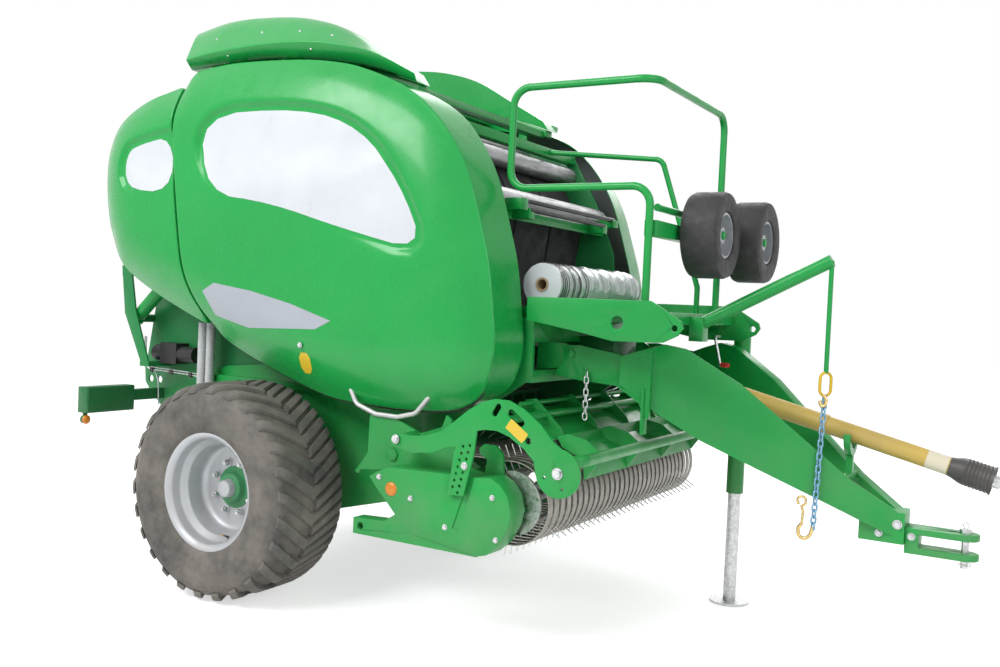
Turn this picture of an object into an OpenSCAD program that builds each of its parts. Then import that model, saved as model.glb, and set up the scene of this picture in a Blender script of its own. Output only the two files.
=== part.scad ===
// Round baler with a variable chamber, towed by a drawbar, standing on two wheels and its jack.
// Millimetres, +X ahead, +Y the machine's left, +Z up, ground at zero.

/* [Body] */
// height of the tyre over the ground, a full turn of the tread
tyre_d = 1150; // [1050:5:1250]
// width of one tyre
tyre_w = 500; // [440:5:520]
// free space between the frame's side and the tyre
wheel_gap = 144; // [130:2:180]
// width of the pressing chamber between its side plates
chamber_w = 1250; // [1230:2:1270]
// how far the rim of the side doors stands out from the frame
door_stand = 264; // [250:2:290]
// how far the doors bulge out from their rim
door_bulge = 110; // [80:2:130]
// height of the tailgate hinge over the ground
tail_hinge_z = 2860; // [2845:1:2870]
// height of the pickup reel axis
reel_z = 700; // [690:2:720]
// length of a pickup reel tine from the reel axis
tine_r = 272; // [255:1:276]
// outer radius of the stripper bands
band_r = 197; // [188:1:205]
// half width of the pickup over its side covers
pickup_half_w = 1100; // [1080:2:1130]
// diameter of the handrail tubes
rail_d = 36; // [30:1:42]
// diameter of the stored gauge wheels
gauge_d = 420; // [390:2:430]
// distance from the wheel axle forward to the hitch pin
hitch_x = 3470; // [3400:10:3540]
// height of the hitch eye over the ground
hitch_z = 630; // [615:2:650]
// diameter of the hitch pin
hitch_pin_d = 32; // [28:1:38]
// diameter of the drive shaft shield
shield_d = 128; // [110:2:140]
// diameter of the net roll in its film
net_d = 220; // [180:2:240]
// diameter of the jack leg
jack_leg_d = 70; // [60:1:80]
// diameter of the pins in the tailgate cylinders' front eyes
eye_d = 30; // [26:1:34]

/* [Hidden] */
green = [0.02, 0.55, 0.14];
dark_green = [0.01, 0.3, 0.1];
black = [0.04, 0.04, 0.045];
rubber_black = [0.06, 0.06, 0.065];
silver = [0.75, 0.76, 0.78];
steel = [0.45, 0.46, 0.48];
yellow = [0.82, 0.66, 0.18];
play = 0.5;
seat = 0.3;
skin = 10;
plate = 12;
frame_t = 20;
axle_x = -1165;
axle_z = tyre_d / 2;
rim_r = 286;
chamber_y = chamber_w / 2 + 15;
tail_y = chamber_y - plate - 6;
chamber_in = chamber_y - plate / 2;
chamber_out = chamber_y + plate / 2;
frame_out = chamber_out + frame_t;
wheel_y = frame_out + wheel_gap + tyre_w / 2;
tail_in = tail_y - plate / 2;
tail_out = tail_y + plate / 2;
hinge_x = -620;
hinge_d = 56;
door_edge_y = frame_out + door_stand;
door_hinge_y = door_edge_y - 40;
door_top_z = 2878;
door_hinge_z = door_top_z - 16;
door_hinge_x = [-350, 80];
beam_in_y = frame_out - 6;
beam_out_y = frame_out + 74;
cyl_y = frame_out + 84;
pickup_x = 960;
pickup_z = 850;
pickup_pin_d = 60;
reel_x = 1640;
side_t = 16;
cover_w = 134;
side_y = pickup_half_w - cover_w - side_t / 2;
side_in = side_y - side_t / 2;
band_w = 40;
band_t = 5;
band_count = 15;
band_pitch = (side_in - band_w / 2) / band_count;
guard_x = 1095;
guard_z = 957;
guard_t = 12;
guard_y = pickup_half_w + 18;
rail_y = 700;
rail_x = 2150;
gauge_w = 180;

module at_axle() {
  translate([axle_x, 0, 0]) children();
}

// round bar from one point to another
module bar(a, b, d, far_d = 0) {
  v = b - a;
  translate(a)
    rotate([0, acos(v[2] / norm(v)), atan2(v[1], v[0])])
      cylinder(h = norm(v), d1 = d, d2 = far_d > 0 ? far_d : d, $fn = 32);
}

function unit(v) = v / norm(v);

// length that a bend of radius r takes off each straight run at a corner
function bend_cut(a, b, c, r) = r * tan(acos(max(-1, min(1, unit(b - a) * unit(c - b)))) / 2);

// one round bend from the run a b into the run b c
module bend(a, b, c, d, r) {
  u = unit(b - a);
  v = unit(c - b);
  turn = acos(u * v);
  inward = unit(v - u * (u * v));
  start = b - u * bend_cut(a, b, c, r);
  side = -inward;
  up = cross(side, u);
  multmatrix([
    [side[0], u[0], up[0], start[0] + inward[0] * r],
    [side[1], u[1], up[1], start[1] + inward[1] * r],
    [side[2], u[2], up[2], start[2] + inward[2] * r],
    [0, 0, 0, 1]
  ])
    rotate_extrude(angle = turn, $fn = 64) translate([r, 0]) circle(d = d, $fn = 32);
}

lap = 4;
swell = 1.2;
// bent tube through a row of points, its bends of radius r a little thicker than its straight runs
module tube_path(p, d, r) {
  n = len(p);
  for (i = [0 : n - 2]) {
    u = unit(p[i + 1] - p[i]);
    from = i == 0 ? 0 : bend_cut(p[i - 1], p[i], p[i + 1], r) - lap;
    to = i == n - 2 ? 0 : bend_cut(p[i], p[i + 1], p[i + 2], r) - lap;
    bar(p[i] + u * from, p[i + 1] - u * to, d);
  }
  for (i = [1 : n - 2]) bend(p[i - 1], p[i], p[i + 1], d + swell, r);
}

// plate standing lengthwise, its outline in x and z
module side_plate(outline, y, t) {
  translate([0, y + t / 2, 0])
    rotate([90, 0, 0])
      linear_extrude(height = t) polygon(outline);
}

// round bar across the machine
module cross_bar(x, z, d, y0, y1) {
  translate([x, y0, z])
    rotate([-90, 0, 0])
      cylinder(h = y1 - y0, d = d, $fn = 48);
}

// box from its low corner to its high corner
module box(a, b) {
  translate(a) cube(b - a);
}

module on_side(side) {
  if (side > 0) children();
  if (side < 0) mirror([0, 1, 0]) children();
}

function cross2(a, b) = a[0] * b[1] - a[1] * b[0];

// row of points with its corners cut, each run giving a point near both its ends
function soften(p) = [
  for (i = [0 : len(p) - 1])
    for (k = [0.25, 0.75])
      p[i] * (1 - k) + p[(i + 1) % len(p)] * k
];

// share of the way from a centre to a point where the border of a field is met
function reach(centre, q, field) = max([
  for (i = [0 : len(field) - 1])
    let (
      a = field[i],
      edge = field[(i + 1) % len(field)] - a,
      d = q - centre,
      m = cross2(a - centre, d) / cross2(d, edge),
      k = cross2(a - centre, edge) / cross2(d, edge)
    )
      if (m >= 0 && m <= 1 && k > 0) k
]);

// how much of its bulge a panel has at a distance from its rim
crown_run = 300;
function rise(s) = 1 - pow(1 - min(s / crown_run, 1), 2);

round_in = 10;
bottom_flange = 130;
flange_flare = 0.35;
round_up = 14;
ridge_w = 26;
ridge_h = 6;
recess = 8;
// shares of the way from the rim to the pressed field
press_rows = [0.12, 0.28, 0.55];

// one point of a panel: row 0 is the edge of the flange, row 1 the rim, row 2 the round over it,
// then come the press rows, the ridge round the field and the field's border
function panel_point(q, centre, field, edge_y, bulge, row) =
  let (
    p = [q[0], q[1]],
    far = norm(centre - p),
    inward = (centre - p) / far,
    run = far * (1 - reach(centre, p, field)),
    ridge = len(press_rows) + 3,
    s = row == 0 ? -flange_flare * max(q[2] - bottom_flange, 0)
      : row == 1 ? 0
      : row == 2 ? round_in
      : row < ridge ? round_in + (run - round_in) * press_rows[row - 3]
      : row == ridge ? run - ridge_w
      : run,
    up = row == ridge ? ridge_h : row > ridge ? -recess : 0,
    y = row == 0 ? edge_y - q[2] : row == 1 ? edge_y - round_up : edge_y + bulge * rise(s - round_in) + up,
    w = p + inward * s
  )
    [w[0], y, w[1]];

// pressed panel bulging to the left, its rim a row of x, z and depth of the flange
module pressed_panel(rim, centre, field, edge_y, bulge) {
  ring = soften(rim);
  n = len(ring);
  m = len(press_rows) + 5;
  outer = [
    for (row = [0 : m - 1])
      for (q = ring)
        panel_point(q, centre, field, edge_y, bulge, row)
  ];
  inner = [
    for (k = [0 : len(outer) - 1])
      let (
        along = ring[(k + 1) % n] - ring[(k + n - 1) % n],
        aside = [-along[1], 0, along[0]] / norm([along[0], along[1]]),
        wall = k < 2 * n ? 1 : 0,
        base = k < 3 * n ? 1 : 0
      )
        outer[k] + aside * skin * base - [0, skin * (1 - wall), 0]
  ];
  points = concat(outer, inner, [
    [centre[0], edge_y + bulge - recess, centre[1]],
    [centre[0], edge_y + bulge - recess - skin, centre[1]]
  ]);
  faces = concat(
    [for (k = [0 : m - 2]) for (i = [0 : n - 1])
      [(k + 1) * n + i, k * n + i, (k + 1) * n + (i + 1) % n]],
    [for (k = [0 : m - 2]) for (i = [0 : n - 1])
      [(k + 1) * n + (i + 1) % n, k * n + i, k * n + (i + 1) % n]],
    [for (i = [0 : n - 1]) [2 * m * n, (m - 1) * n + i, (m - 1) * n + (i + 1) % n]],
    [for (k = [0 : m - 2]) for (i = [0 : n - 1])
      [m * n + k * n + i, m * n + (k + 1) * n + i, m * n + (k + 1) * n + (i + 1) % n]],
    [for (k = [0 : m - 2]) for (i = [0 : n - 1])
      [m * n + k * n + i, m * n + (k + 1) * n + (i + 1) % n, m * n + k * n + (i + 1) % n]],
    [for (i = [0 : n - 1]) [(2 * m - 1) * n + i, 2 * m * n + 1, (2 * m - 1) * n + (i + 1) % n]],
    [for (i = [0 : n - 1]) [i, m * n + i, (i + 1) % n]],
    [for (i = [0 : n - 1]) [(i + 1) % n, m * n + i, m * n + (i + 1) % n]]
  );
  polyhedron(points = points, faces = faces, convexity = 6);
}

// rims of the outer panels: x from the axle, z over the ground, depth of the flange
door_rim = [
  [-630, 2593, 18], [-574, 2134, 18], [-493, 1678, 18], [-344, 1406, 60], [-180, 1314, 130],
  [71, 1222, 130], [301, 1148, 130], [520, 1089, 130], [688, 1080, 130], [968, 1070, 130],
  [1190, 1083, 130], [1299, 1099, 130], [1395, 1143, 130], [1459, 1218, 200], [1486, 1336, 230],
  [1499, 1450, 230], [1481, 1585, 230], [1446, 1829, 230], [1386, 2016, 230], [1313, 2244, 230],
  [1212, 2415, 230], [1073, 2570, 230], [904, 2689, 150], [624, 2804, 40], [424, 2847, 18],
  [217, 2873, 18], [-221, 2893, 18], [-452, 2879, 18], [-596, 2864, 18]
];
door_field = [
  [-446, 2607], [330, 2604], [729, 2476], [990, 2198], [1168, 1828], [629, 1955], [148, 2086], [-336, 2145]
];
rear_rim = [
  [-641, 2794, 18], [-764, 2766, 60], [-940, 2733, 110], [-1120, 2655, 110], [-1224, 2571, 110],
  [-1285, 2447, 110], [-1303, 2338, 110], [-1300, 2192, 110], [-1272, 2028, 110], [-1230, 1919, 110],
  [-1144, 1748, 110], [-971, 1653, 110], [-800, 1576, 110], [-658, 1521, 110], [-467, 1449, 60],
  [-372, 1424, 18], [-508, 1680, 18], [-590, 2134, 18], [-646, 2590, 18]
];
rear_field = [[-1043, 2421], [-700, 2500], [-690, 2150], [-1030, 2186]];

chamber_line = [
  [-600, 2740], [-100, 2740], [300, 2740], [700, 2660], [1060, 2580], [1250, 2260], [1380, 1950],
  [1400, 1700], [1350, 1450], [1230, 1250], [1120, 1060], [1080, 760], [900, 620], [300, 600],
  [60, 700], [20, 1000],
  [-100, 1150], [-360, 1406], [-500, 1678], [-590, 2134], [-635, 2590]
];
tail_line = [
  [-640, 2740], [-764, 2720], [-940, 2660], [-1100, 2560], [-1200, 2400], [-1225, 2200], [-1200, 1900],
  [-1180, 1500], [-1235, 1200], [-1260, 1150], [-1250, 1030], [-1180, 950], [-1040, 845], [-850, 850],
  [-600, 800], [-300, 760], [-60, 740], [0, 1000], [-120, 1160], [-375, 1420], [-515, 1690], [-605, 2140],
  [-650, 2595]
];

// chassis
module main_frame() color(green) at_axle() {
  for (s = [-1, 1])
    on_side(s) {
      difference() {
        side_plate([
          [-700, 720], [-700, 1120], [-500, 1180], [200, 1250], [900, 1420], [1500, 1560], [1560, 1560],
          [1560, 1262], [1180, 1010], [1120, 640], [300, 430], [-300, 430]
        ], chamber_out + frame_t / 2, frame_t);
        for (x = [-300, 420, 620]) cross_bar(x, 1060 + x * 0.1, 90, chamber_in, frame_out + 10);
        box([-60, chamber_in, axle_z - 60], [60, frame_out + 10, axle_z + 60]);
        cross_bar(pickup_x, pickup_z, hinge_d + 2 * play, chamber_in, frame_out - 6);
      }
      box([-700, frame_out, 1085], [900, frame_out + 36, 1125]);
      box([-700, frame_out, 957], [-520, cyl_y + 24, 997]);
      cross_bar(pickup_x, pickup_z, pickup_pin_d, frame_out - 6, side_y + side_t);
      difference() {
        side_plate([
          [1500, 1300], [1500, 1440], [1660, 1440], [1735, 1400], [1735, 1360], [1660, 1320]
        ], lug_y, frame_t);
        cross_bar(arm_pin[0], arm_pin[1], arm_pin_d + 2 * play, lug_y - frame_t, lug_y + frame_t);
      }
    }
  box([1440, -frame_out, 1440], [1560, frame_out, 1560]);
  box([1440, -frame_out, 1240], [1560, frame_out, 1300]);
}

module axle_beam() color(green) at_axle() {
  box([-60, -frame_out - 94, axle_z - 60], [60, frame_out + 94, axle_z + 60]);
  for (s = [-1, 1])
    on_side(s) {
      cross_bar(0, axle_z, 80, frame_out + 90, wheel_y + 30);
      box([-90, frame_out, axle_z - 100], [90, frame_out + 16, axle_z + 100]);
    }
}

module chamber_sides() color(dark_green) at_axle()
  for (s = [-1, 1])
    on_side(s) {
      difference() {
        side_plate(chamber_line, chamber_y, plate);
        cross_bar(pickup_x, pickup_z, hinge_d + 2 * play, chamber_in - 10, chamber_out + 10);
      }
      side_plate([
        [-665, 2830], [-655, 2895], [-585, 2895], [-200, 2730], [-200, 2690], [-560, 2640]
      ], chamber_y, plate);
      cross_bar(cyl_front[0], cyl_front[1], 70, chamber_y, cyl_y - cyl_half - 4);
    }

// x, z, diameter
front_rollers = [
  [860, 1200, 230], [1120, 1430, 90], [1250, 2150, 150], [1050, 2430, 110], [700, 2580, 110],
  [100, 2650, 110], [380, 760, 230], [110, 840, 120]
];
module chamber_rollers() color(steel) at_axle()
  for (r = front_rollers) cross_bar(r[0], r[1], r[2], -chamber_in, chamber_in);

// side that a belt runs on round each roller of a row: a run touches both its rollers
function run_normal(a, b, side) =
  let (d = [b[0] - a[0], b[1] - a[1]], u = unit(d), k = (a[2] - b[2]) / 2 / norm(d))
    u * k + [-u[1], u[0]] * side * sqrt(1 - k * k);

// points of a belt's face at a distance off from its rollers: it turns a quarter round the
// first and the last one, wraps the others on its outer side or passes them on its inner side
function belt_face(row, side, off) = [
  for (i = [0 : len(row) - 1])
    let (
      r = row[i],
      n1 = run_normal(row[max(i - 1, 0)], row[max(i, 1)], side),
      n2 = run_normal(row[min(i, len(row) - 2)], row[min(i + 1, len(row) - 1)], side),
      from = atan2(n1[1], n1[0]) + (i == 0 ? side * 90 : 0),
      to = atan2(n2[1], n2[0]) - (i == len(row) - 1 ? side * 90 : 0),
      turn = (to - from + 540) % 360 - 180,
      parts = turn * side > 0 ? 1 : 5
    )
      for (k = [0 : parts - 1])
        let (a = from + turn * (k + 0.5) / parts, far = (r[2] / 2 + off) / cos(turn / parts / 2))
          [r[0] + far * cos(a), r[1] + far * sin(a)]
];

function backwards(p) = [for (i = [1 : len(p)]) p[len(p) - i]];

belt_gap = 20;
belt_t = 8;
belt_room = 26;
// three flat belts side by side round the same row of rollers, within a half width
module belt_set(row, side, half) {
  pitch = (2 * (half - belt_room) + belt_gap) / 3;
  for (k = [-1, 0, 1])
    translate([0, k * pitch, 0])
      side_plate(concat(belt_face(row, side, seat), backwards(belt_face(row, side, seat + belt_t))), 0,
        pitch - belt_gap);
}

module front_belts() color(black) at_axle()
  belt_set([for (i = [1 : 5]) front_rollers[i]], 1, chamber_in);

// sections of a hood from the rear to its tip: ridge x and z, edge x, y from the rim and z,
// underside x, y from the rim and z
hood_rows = [
  [-758, 3156, -648, 0, 2937, -674, 70, 2895],
  [-466, 3197, -430, 0, 2962, -450, 70, 2905],
  [-94, 3180, -94, 0, 2974, -94, 70, 2912],
  [149, 3138, 190, 0, 2966, 190, 70, 2888],
  [364, 3063, 400, 25, 2945, 420, 90, 2858],
  [600, 2928, 640, 70, 2890, 640, 115, 2815],
  [833, 2794, 872, 130, 2775, 876, 150, 2735]
];
module hood() {
  n = 5;
  rows = len(hood_rows);
  points = [
    for (h = hood_rows)
      each [
        [h[0], beam_in_y, h[1]],
        [h[0], door_edge_y - 180, h[1]],
        [h[2], door_edge_y - h[3], h[4]],
        [h[5], door_edge_y - h[6], h[7]],
        [h[5], beam_in_y, h[7]]
      ]
  ];
  faces = concat(
    [for (k = [0 : rows - 2]) for (i = [0 : n - 1]) [k * n + i, (k + 1) * n + i, (k + 1) * n + (i + 1) % n]],
    [for (k = [0 : rows - 2]) for (i = [0 : n - 1])
      [k * n + i, (k + 1) * n + (i + 1) % n, k * n + (i + 1) % n]],
    [for (i = [1 : n - 2]) [0, i, i + 1]],
    [for (i = [1 : n - 2]) [(rows - 1) * n, (rows - 1) * n + i + 1, (rows - 1) * n + i]]
  );
  polyhedron(points = points, faces = faces, convexity = 4);
}

module hoods() color(green) at_axle() for (s = [-1, 1]) on_side(s) hood();

// x and the height where each strap meets the beam
beam_straps = [[-300, 2830], [250, 2820], [700, 2745]];
module top_frame() color(green) at_axle() {
  beam_top = [for (h = hood_rows) [h[5], h[7] - seat]];
  for (s = [-1, 1])
    on_side(s) {
      side_plate(concat([[-640, 2800], [250, 2790], [860, 2695]], backwards([
        for (q = beam_top) [max(-640, min(860, q[0])), q[1] + (q[0] > 860 ? 3 : q[0] < -640 ? 1 : 0)]
      ])), (beam_in_y + beam_out_y) / 2, beam_out_y - beam_in_y);
      for (b = beam_straps) box([b[0] - 30, chamber_out, b[1] - 220], [b[0] + 30, beam_in_y + 10, b[1]]);
      for (x = door_hinge_x) {
        for (k = [-1, 1])
          translate([x + k * 40 - 20, 0, 0]) {
            box([0, beam_out_y - 10, door_hinge_z - 10], [40, door_hinge_y, door_hinge_z + 10]);
            cross_x(door_hinge_y, door_hinge_z, 38, 0, 40);
          }
        cross_x(door_hinge_y, door_hinge_z, 16 - 2 * play, x - 62, x + 62);
      }
    }
  for (b = [[-180, 2800], [400, 2790], [800, 2690]])
    box([b[0] - 40, -beam_in_y - 10, b[1]], [b[0] + 40, beam_in_y + 10, b[1] + 40]);
  box([1030, -chamber_in, 2505], [1090, chamber_in, 2555]);
}

// round bar along the machine
module cross_x(y, z, d, x0, x1) {
  translate([x0, y, z])
    rotate([0, 90, 0])
      cylinder(h = x1 - x0, d = d, $fn = 32);
}

module hinge_shaft() color(dark_green) at_axle()
  cross_bar(hinge_x, tail_hinge_z, hinge_d, -chamber_in, chamber_in);

handle_d = 20;
handle_x = [1010, 1200];
handle_z = 1050;
handle_y = door_edge_y - 25;
module door_panel(s) color(green) at_axle() on_side(s) {
  difference() {
    union() {
      pressed_panel(door_rim, [350, 2250], door_field, door_edge_y, door_bulge);
      for (x = door_hinge_x) {
        cross_x(door_hinge_y, door_hinge_z, 38, x - 18, x + 18);
        box([x - 18, door_hinge_y, door_hinge_z - 6], [x + 18, door_edge_y - 4, door_top_z]);
      }
      for (x = handle_x)
        box([x - 16, handle_y - 16, handle_z + 20], [x + 16, handle_y + 20, handle_z + 62]);
    }
    for (x = door_hinge_x) cross_x(door_hinge_y, door_hinge_z, 16, x - 20, x + 20);
    for (x = handle_x)
      translate([x, handle_y, handle_z]) cylinder(h = 49 + seat, d = handle_d + 2 * seat, $fn = 32);
  }
}

module door_handle(s) color(silver) at_axle() on_side(s)
  tube_path([
    [handle_x[0], handle_y, handle_z + 49], [handle_x[0], handle_y, handle_z],
    [handle_x[1], handle_y, handle_z], [handle_x[1], handle_y, handle_z + 49]
  ], handle_d, 16);

// x and z of the stays that carry the rear panels, and how far they stop short of the full bulge
rear_stays = [[-860, 2380, 14], [-960, 2020, 5]];
module rear_panels() color(green) at_axle() for (s = [-1, 1]) on_side(s) {
  pressed_panel(rear_rim, [-800, 2310], rear_field, door_edge_y, door_bulge);
  for (at = rear_stays)
    cross_bar(at[0], at[1], 50, tail_out, door_edge_y + door_bulge - at[2]);
}

post_t = 12;
post_y = cyl_y + 52;
module tail_sides() color(dark_green) at_axle() for (s = [-1, 1]) on_side(s)
  difference() {
    union() {
      side_plate(tail_line, tail_y, plate);
      side_plate([
        [-665, 2820], [-655, 2895], [-585, 2895], [-575, 2820], [-600, 2600], [-690, 2600]
      ], tail_y, plate);
      cross_bar(cyl_tail[0], cyl_tail[1], tail_pin_d, tail_y, post_y);
      side_plate([
        [-1285, 1754], [-1205, 1754], [-1150, 1480], [-1010, 1142], [-1075, 1142], [-1245, 1460]
      ], post_y, post_t);
      box([-1095, tail_y, 1142], [-1020, post_y + post_t / 2, 1170]);
      box([-1280, tail_y, 1690], [-1215, post_y + post_t / 2, 1754]);
    }
    cross_bar(hinge_x, tail_hinge_z, hinge_d + 2 * play, tail_in - 10, tail_out + 10);
    for (x = [-1200, -1120]) cross_bar(x, 1050, 44, tail_in - 10, tail_out + 10);
  }

tail_rollers = [
  [-120, 850, 200], [-480, 900, 110], [-1000, 1250, 110], [-1110, 1950, 110], [-980, 2450, 110],
  [-690, 2640, 90]
];
module tail_roller_set() color(steel) at_axle()
  for (r = tail_rollers) cross_bar(r[0], r[1], r[2], -tail_in, tail_in);

module rear_belts() color(black) at_axle()
  belt_set([for (i = [1 : 5]) tail_rollers[i]], 1, tail_in);

// tailgate cylinders, from their eye on the tailgate's post up to the eye on the chamber side
cyl_tail = [-1203, 1430];
cyl_front = [-100, 2400];
cyl_len = norm(cyl_front - cyl_tail);
cyl_body = 1150;
cyl_half = 22;
rod_d = 40;
tail_pin_d = 50;
cyl_tilt = atan2(cyl_front[1] - cyl_tail[1], cyl_front[0] - cyl_tail[0]);
// places its content with +X from the tailgate's eye to the frame's eye of a cylinder
module along_cylinder(s) {
  at_axle() on_side(s)
    translate([cyl_tail[0], cyl_y, cyl_tail[1]]) rotate([0, -cyl_tilt, 0]) children();
}

module eye(x, d) {
  translate([x, -cyl_half, 0]) rotate([-90, 0, 0]) cylinder(h = 2 * cyl_half, d = d, $fn = 48);
}

module eye_bore(x, d) {
  translate([x, -cyl_half - 10, 0]) rotate([-90, 0, 0]) cylinder(h = 2 * cyl_half + 20, d = d, $fn = 48);
}

module cylinder_barrel(s) color(green) along_cylinder(s)
  difference() {
    union() {
      eye(0, 84);
      cross_x(0, 0, 80, 30, cyl_body);
    }
    eye_bore(0, tail_pin_d + 2 * play);
    cross_x(0, 0, 58, 80, cyl_body - 40);
    cross_x(0, 0, rod_d + 2 * seat, cyl_body - 50, cyl_body + 10);
  }

module cylinder_rod(s) color(silver) along_cylinder(s) {
  cross_x(0, 0, rod_d, 120, cyl_len - 20);
  eye(cyl_len, 70);
  translate([cyl_len, 0, 0]) rotate([-90, 0, 0]) cylinder(h = cyl_half + 10, d = eye_d, $fn = 48);
}

// tyre with chevron lugs, its axis across the machine
lug_count = 30;
lug_w = 54;
lug_turn = 36;
module tyre(s) color(rubber_black) at_axle() translate([0, s * wheel_y, axle_z]) rotate([90, 0, 0]) {
  h = tyre_w / 2;
  crown = tyre_d / 2 - 26;
  lug_len = h - 20;
  lug_reach = lug_w / 2 * cos(lug_turn) + lug_len * sin(lug_turn) / cos(lug_turn) / 2;
  lug_top = sqrt(pow(tyre_d / 2, 2) - pow(lug_reach, 2));
  rotate_extrude($fn = 90)
    polygon([
      [rim_r, -h + 60], [rim_r + 22, -h + 44], [340, -h + 14], [420, -h], [490, -h + 12],
      [crown - 14, -h + 34],
      [crown, -h + 70], [crown, h - 70], [crown - 14, h - 34], [490, h - 12], [420, h], [340, h - 14],
      [rim_r + 22, h - 44], [rim_r, h - 60]
    ]);
  for (i = [0 : lug_count - 1])
    for (k = [-1, 1])
      rotate([0, 0, i * 360 / lug_count])
        translate([crown - 20, 0, k * h / 2])
          rotate([k * lug_turn, 0, 0])
            box([0, -lug_w / 2, -lug_len / 2 / cos(lug_turn)],
              [lug_top - crown + 20, lug_w / 2, lug_len / 2 / cos(lug_turn)]);
}

dish = 12;
cap_d = 96;
hub_d = 150;
module rim(s) color(silver) at_axle() translate([0, s * wheel_y, axle_z]) rotate([s * -90, 0, 0]) {
  h = tyre_w / 2;
  rotate_extrude($fn = 90)
    polygon([
      [rim_r - seat, -h + 60 - seat], [rim_r - seat, h - 60 + seat], [rim_r + 20, h - 45],
      [rim_r + 20, h - 36],
      [rim_r - 10, h - 42], [rim_r - 16, 130], [240, 112], [232, 24], [130, 4], [hub_d / 2 + 5, 4],
      [hub_d / 2 + 5, 4 - dish], [130, 4 - dish], [232, -20], [rim_r - 16, -40], [rim_r - 14, -h + 46],
      [rim_r + 20, -h + 36],
      [rim_r + 20, -h + 45]
    ]);
}

module hub(s) color(green) at_axle() translate([0, s * wheel_y, axle_z]) rotate([s * -90, 0, 0])
  difference() {
    union() {
      translate([0, 0, 4 - dish - seat - 20]) cylinder(h = 20, d = 240, $fn = 64);
      translate([0, 0, -220]) cylinder(h = 270, d = hub_d, $fn = 64);
      translate([0, 0, 45]) cylinder(h = 35, d = cap_d, $fn = 64);
    }
    translate([0, 0, -230]) cylinder(h = 266, d = 80 + 2 * play, $fn = 64);
  }

// pickup
beam_x = [1240, 1290];
module pickup_frame() color(green) at_axle() {
  for (s = [-1, 1])
    on_side(s) {
      difference() {
        union() {
          side_plate([
            [806, 842], [810, 1031], [892, 1051], [989, 1024], [1121, 972], [1246, 1015], [1270, 1075],
            [1298, 1055], [1295, 985], [1360, 850], [1600, 800], [1690, 700], [1600, 540], [1400, 500],
            [1150, 540], [960, 700],
            [905, 770], [760, 752], [745, 731], [728, 741]
          ], side_y, side_t);
          cross_bar(pickup_x, pickup_z, 130, side_in - 52, side_y + side_t / 2);
        }
        cross_bar(pickup_x, pickup_z, pickup_pin_d + 2 * play, side_in - 60, side_y + side_t);
        cross_bar(reel_x, reel_z, 50 + 2 * play, side_in - 10, side_y + side_t);
      }
      cross_bar(guard_x, guard_z, 50, side_y, guard_y - guard_t / 2 - seat);
      cross_bar(guard_x, guard_z, 30, side_y, guard_y + guard_t / 2 + 12);
      side_plate([
        [1462, 935], [1486, 960], [1552, 958], [1589, 923], [1597, 864], [1600, 790], [1560, 700],
        [1490, 780],
        [1508, 888], [1469, 910]
      ], side_y, side_t);
    }
  cross_bar(1250, 740, 70, -side_y, side_y);
  under_bands = reel_z + band_r - band_t - seat;
  over_bands = reel_z - band_r + band_t + seat;
  box([beam_x[0], -side_y, under_bands - 50], [beam_x[1], side_y, under_bands]);
  box([beam_x[0], -side_y, over_bands], [beam_x[1], side_y, over_bands + 50]);
}

cover_line = [
  [924, 756], [981, 787], [1038, 812], [1532, 824], [1609, 832], [1661, 806], [1702, 757], [1722, 683],
  [1709, 616], [1663, 532], [1602, 478], [1551, 464], [1196, 514], [1108, 570], [1047, 631], [971, 703]
];
module pickup_covers() color(green) at_axle() for (s = [-1, 1]) on_side(s) {
  mid = side_y + side_t / 2 + seat + (cover_w - seat) / 2;
  difference() {
    side_plate(cover_line, mid, cover_w - seat);
    side_plate([[1500, 840], [1529, 840], [1453, 567], [1414, 574]], pickup_half_w, 12);
  }
  difference() {
    side_plate([[833, 462], [833, 540], [1020, 548], [1100, 600], [1500, 548], [1600, 522], [1550, 460]],
      pickup_half_w - 46, 80);
    cross_bar(876, 502, 36, pickup_half_w - 100, pickup_half_w + 10);
  }
}

module stripper_bands() color(silver) at_axle()
  for (i = [-band_count : band_count])
    translate([reel_x, i * band_pitch, reel_z])
      rotate([90, 0, 0])
        translate([0, 0, -band_w / 2])
          difference() {
            union() {
              cylinder(h = band_w, r = band_r, $fn = 64);
              translate([beam_x[0] - reel_x, -band_r, 0]) cube([reel_x - beam_x[0], 2 * band_r, band_w]);
            }
            translate([0, 0, -1]) cylinder(h = band_w + 2, r = band_r - band_t, $fn = 64);
            translate([beam_x[0] - reel_x - 10, band_t - band_r, -1])
              cube([reel_x - beam_x[0] + 10, 2 * (band_r - band_t), band_w + 2]);
          }

module reel() color(black) at_axle() translate([reel_x, 0, reel_z]) {
  cross_bar(0, 0, 50, -side_y - 6, side_y + 6);
  for (y = [-1, -1 / 3, 1 / 3, 1]) cross_bar(0, 0, 300, y * (side_in - 14) - 6, y * (side_in - 14) + 6);
  for (a = [0 : 72 : 359])
    rotate([0, a + 30, 0]) {
      cross_bar(130, 0, 34, 6 - side_in, side_in - 6);
      for (i = [-band_count : band_count - 1])
        translate([130, (i + 0.5) * band_pitch, 0]) rotate([0, 90, 0])
          cylinder(h = tine_r - 130, d = 6, $fn = 16);
    }
}

module feed_rotor() color(dark_green) at_axle() translate([pickup_x, 0, pickup_z]) {
  star_pitch = (chamber_in - 90) / 8;
  cross_bar(0, 0, hinge_d, -chamber_out, chamber_out);
  cross_bar(0, 0, 180, 34 - chamber_in, chamber_in - 34);
  for (i = [-8 : 8])
    for (a = [0 : 90 : 359])
      rotate([0, a + i * 12, 0]) translate([60, i * star_pitch - 6, -34]) cube([170, 12, 68]);
}

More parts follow.
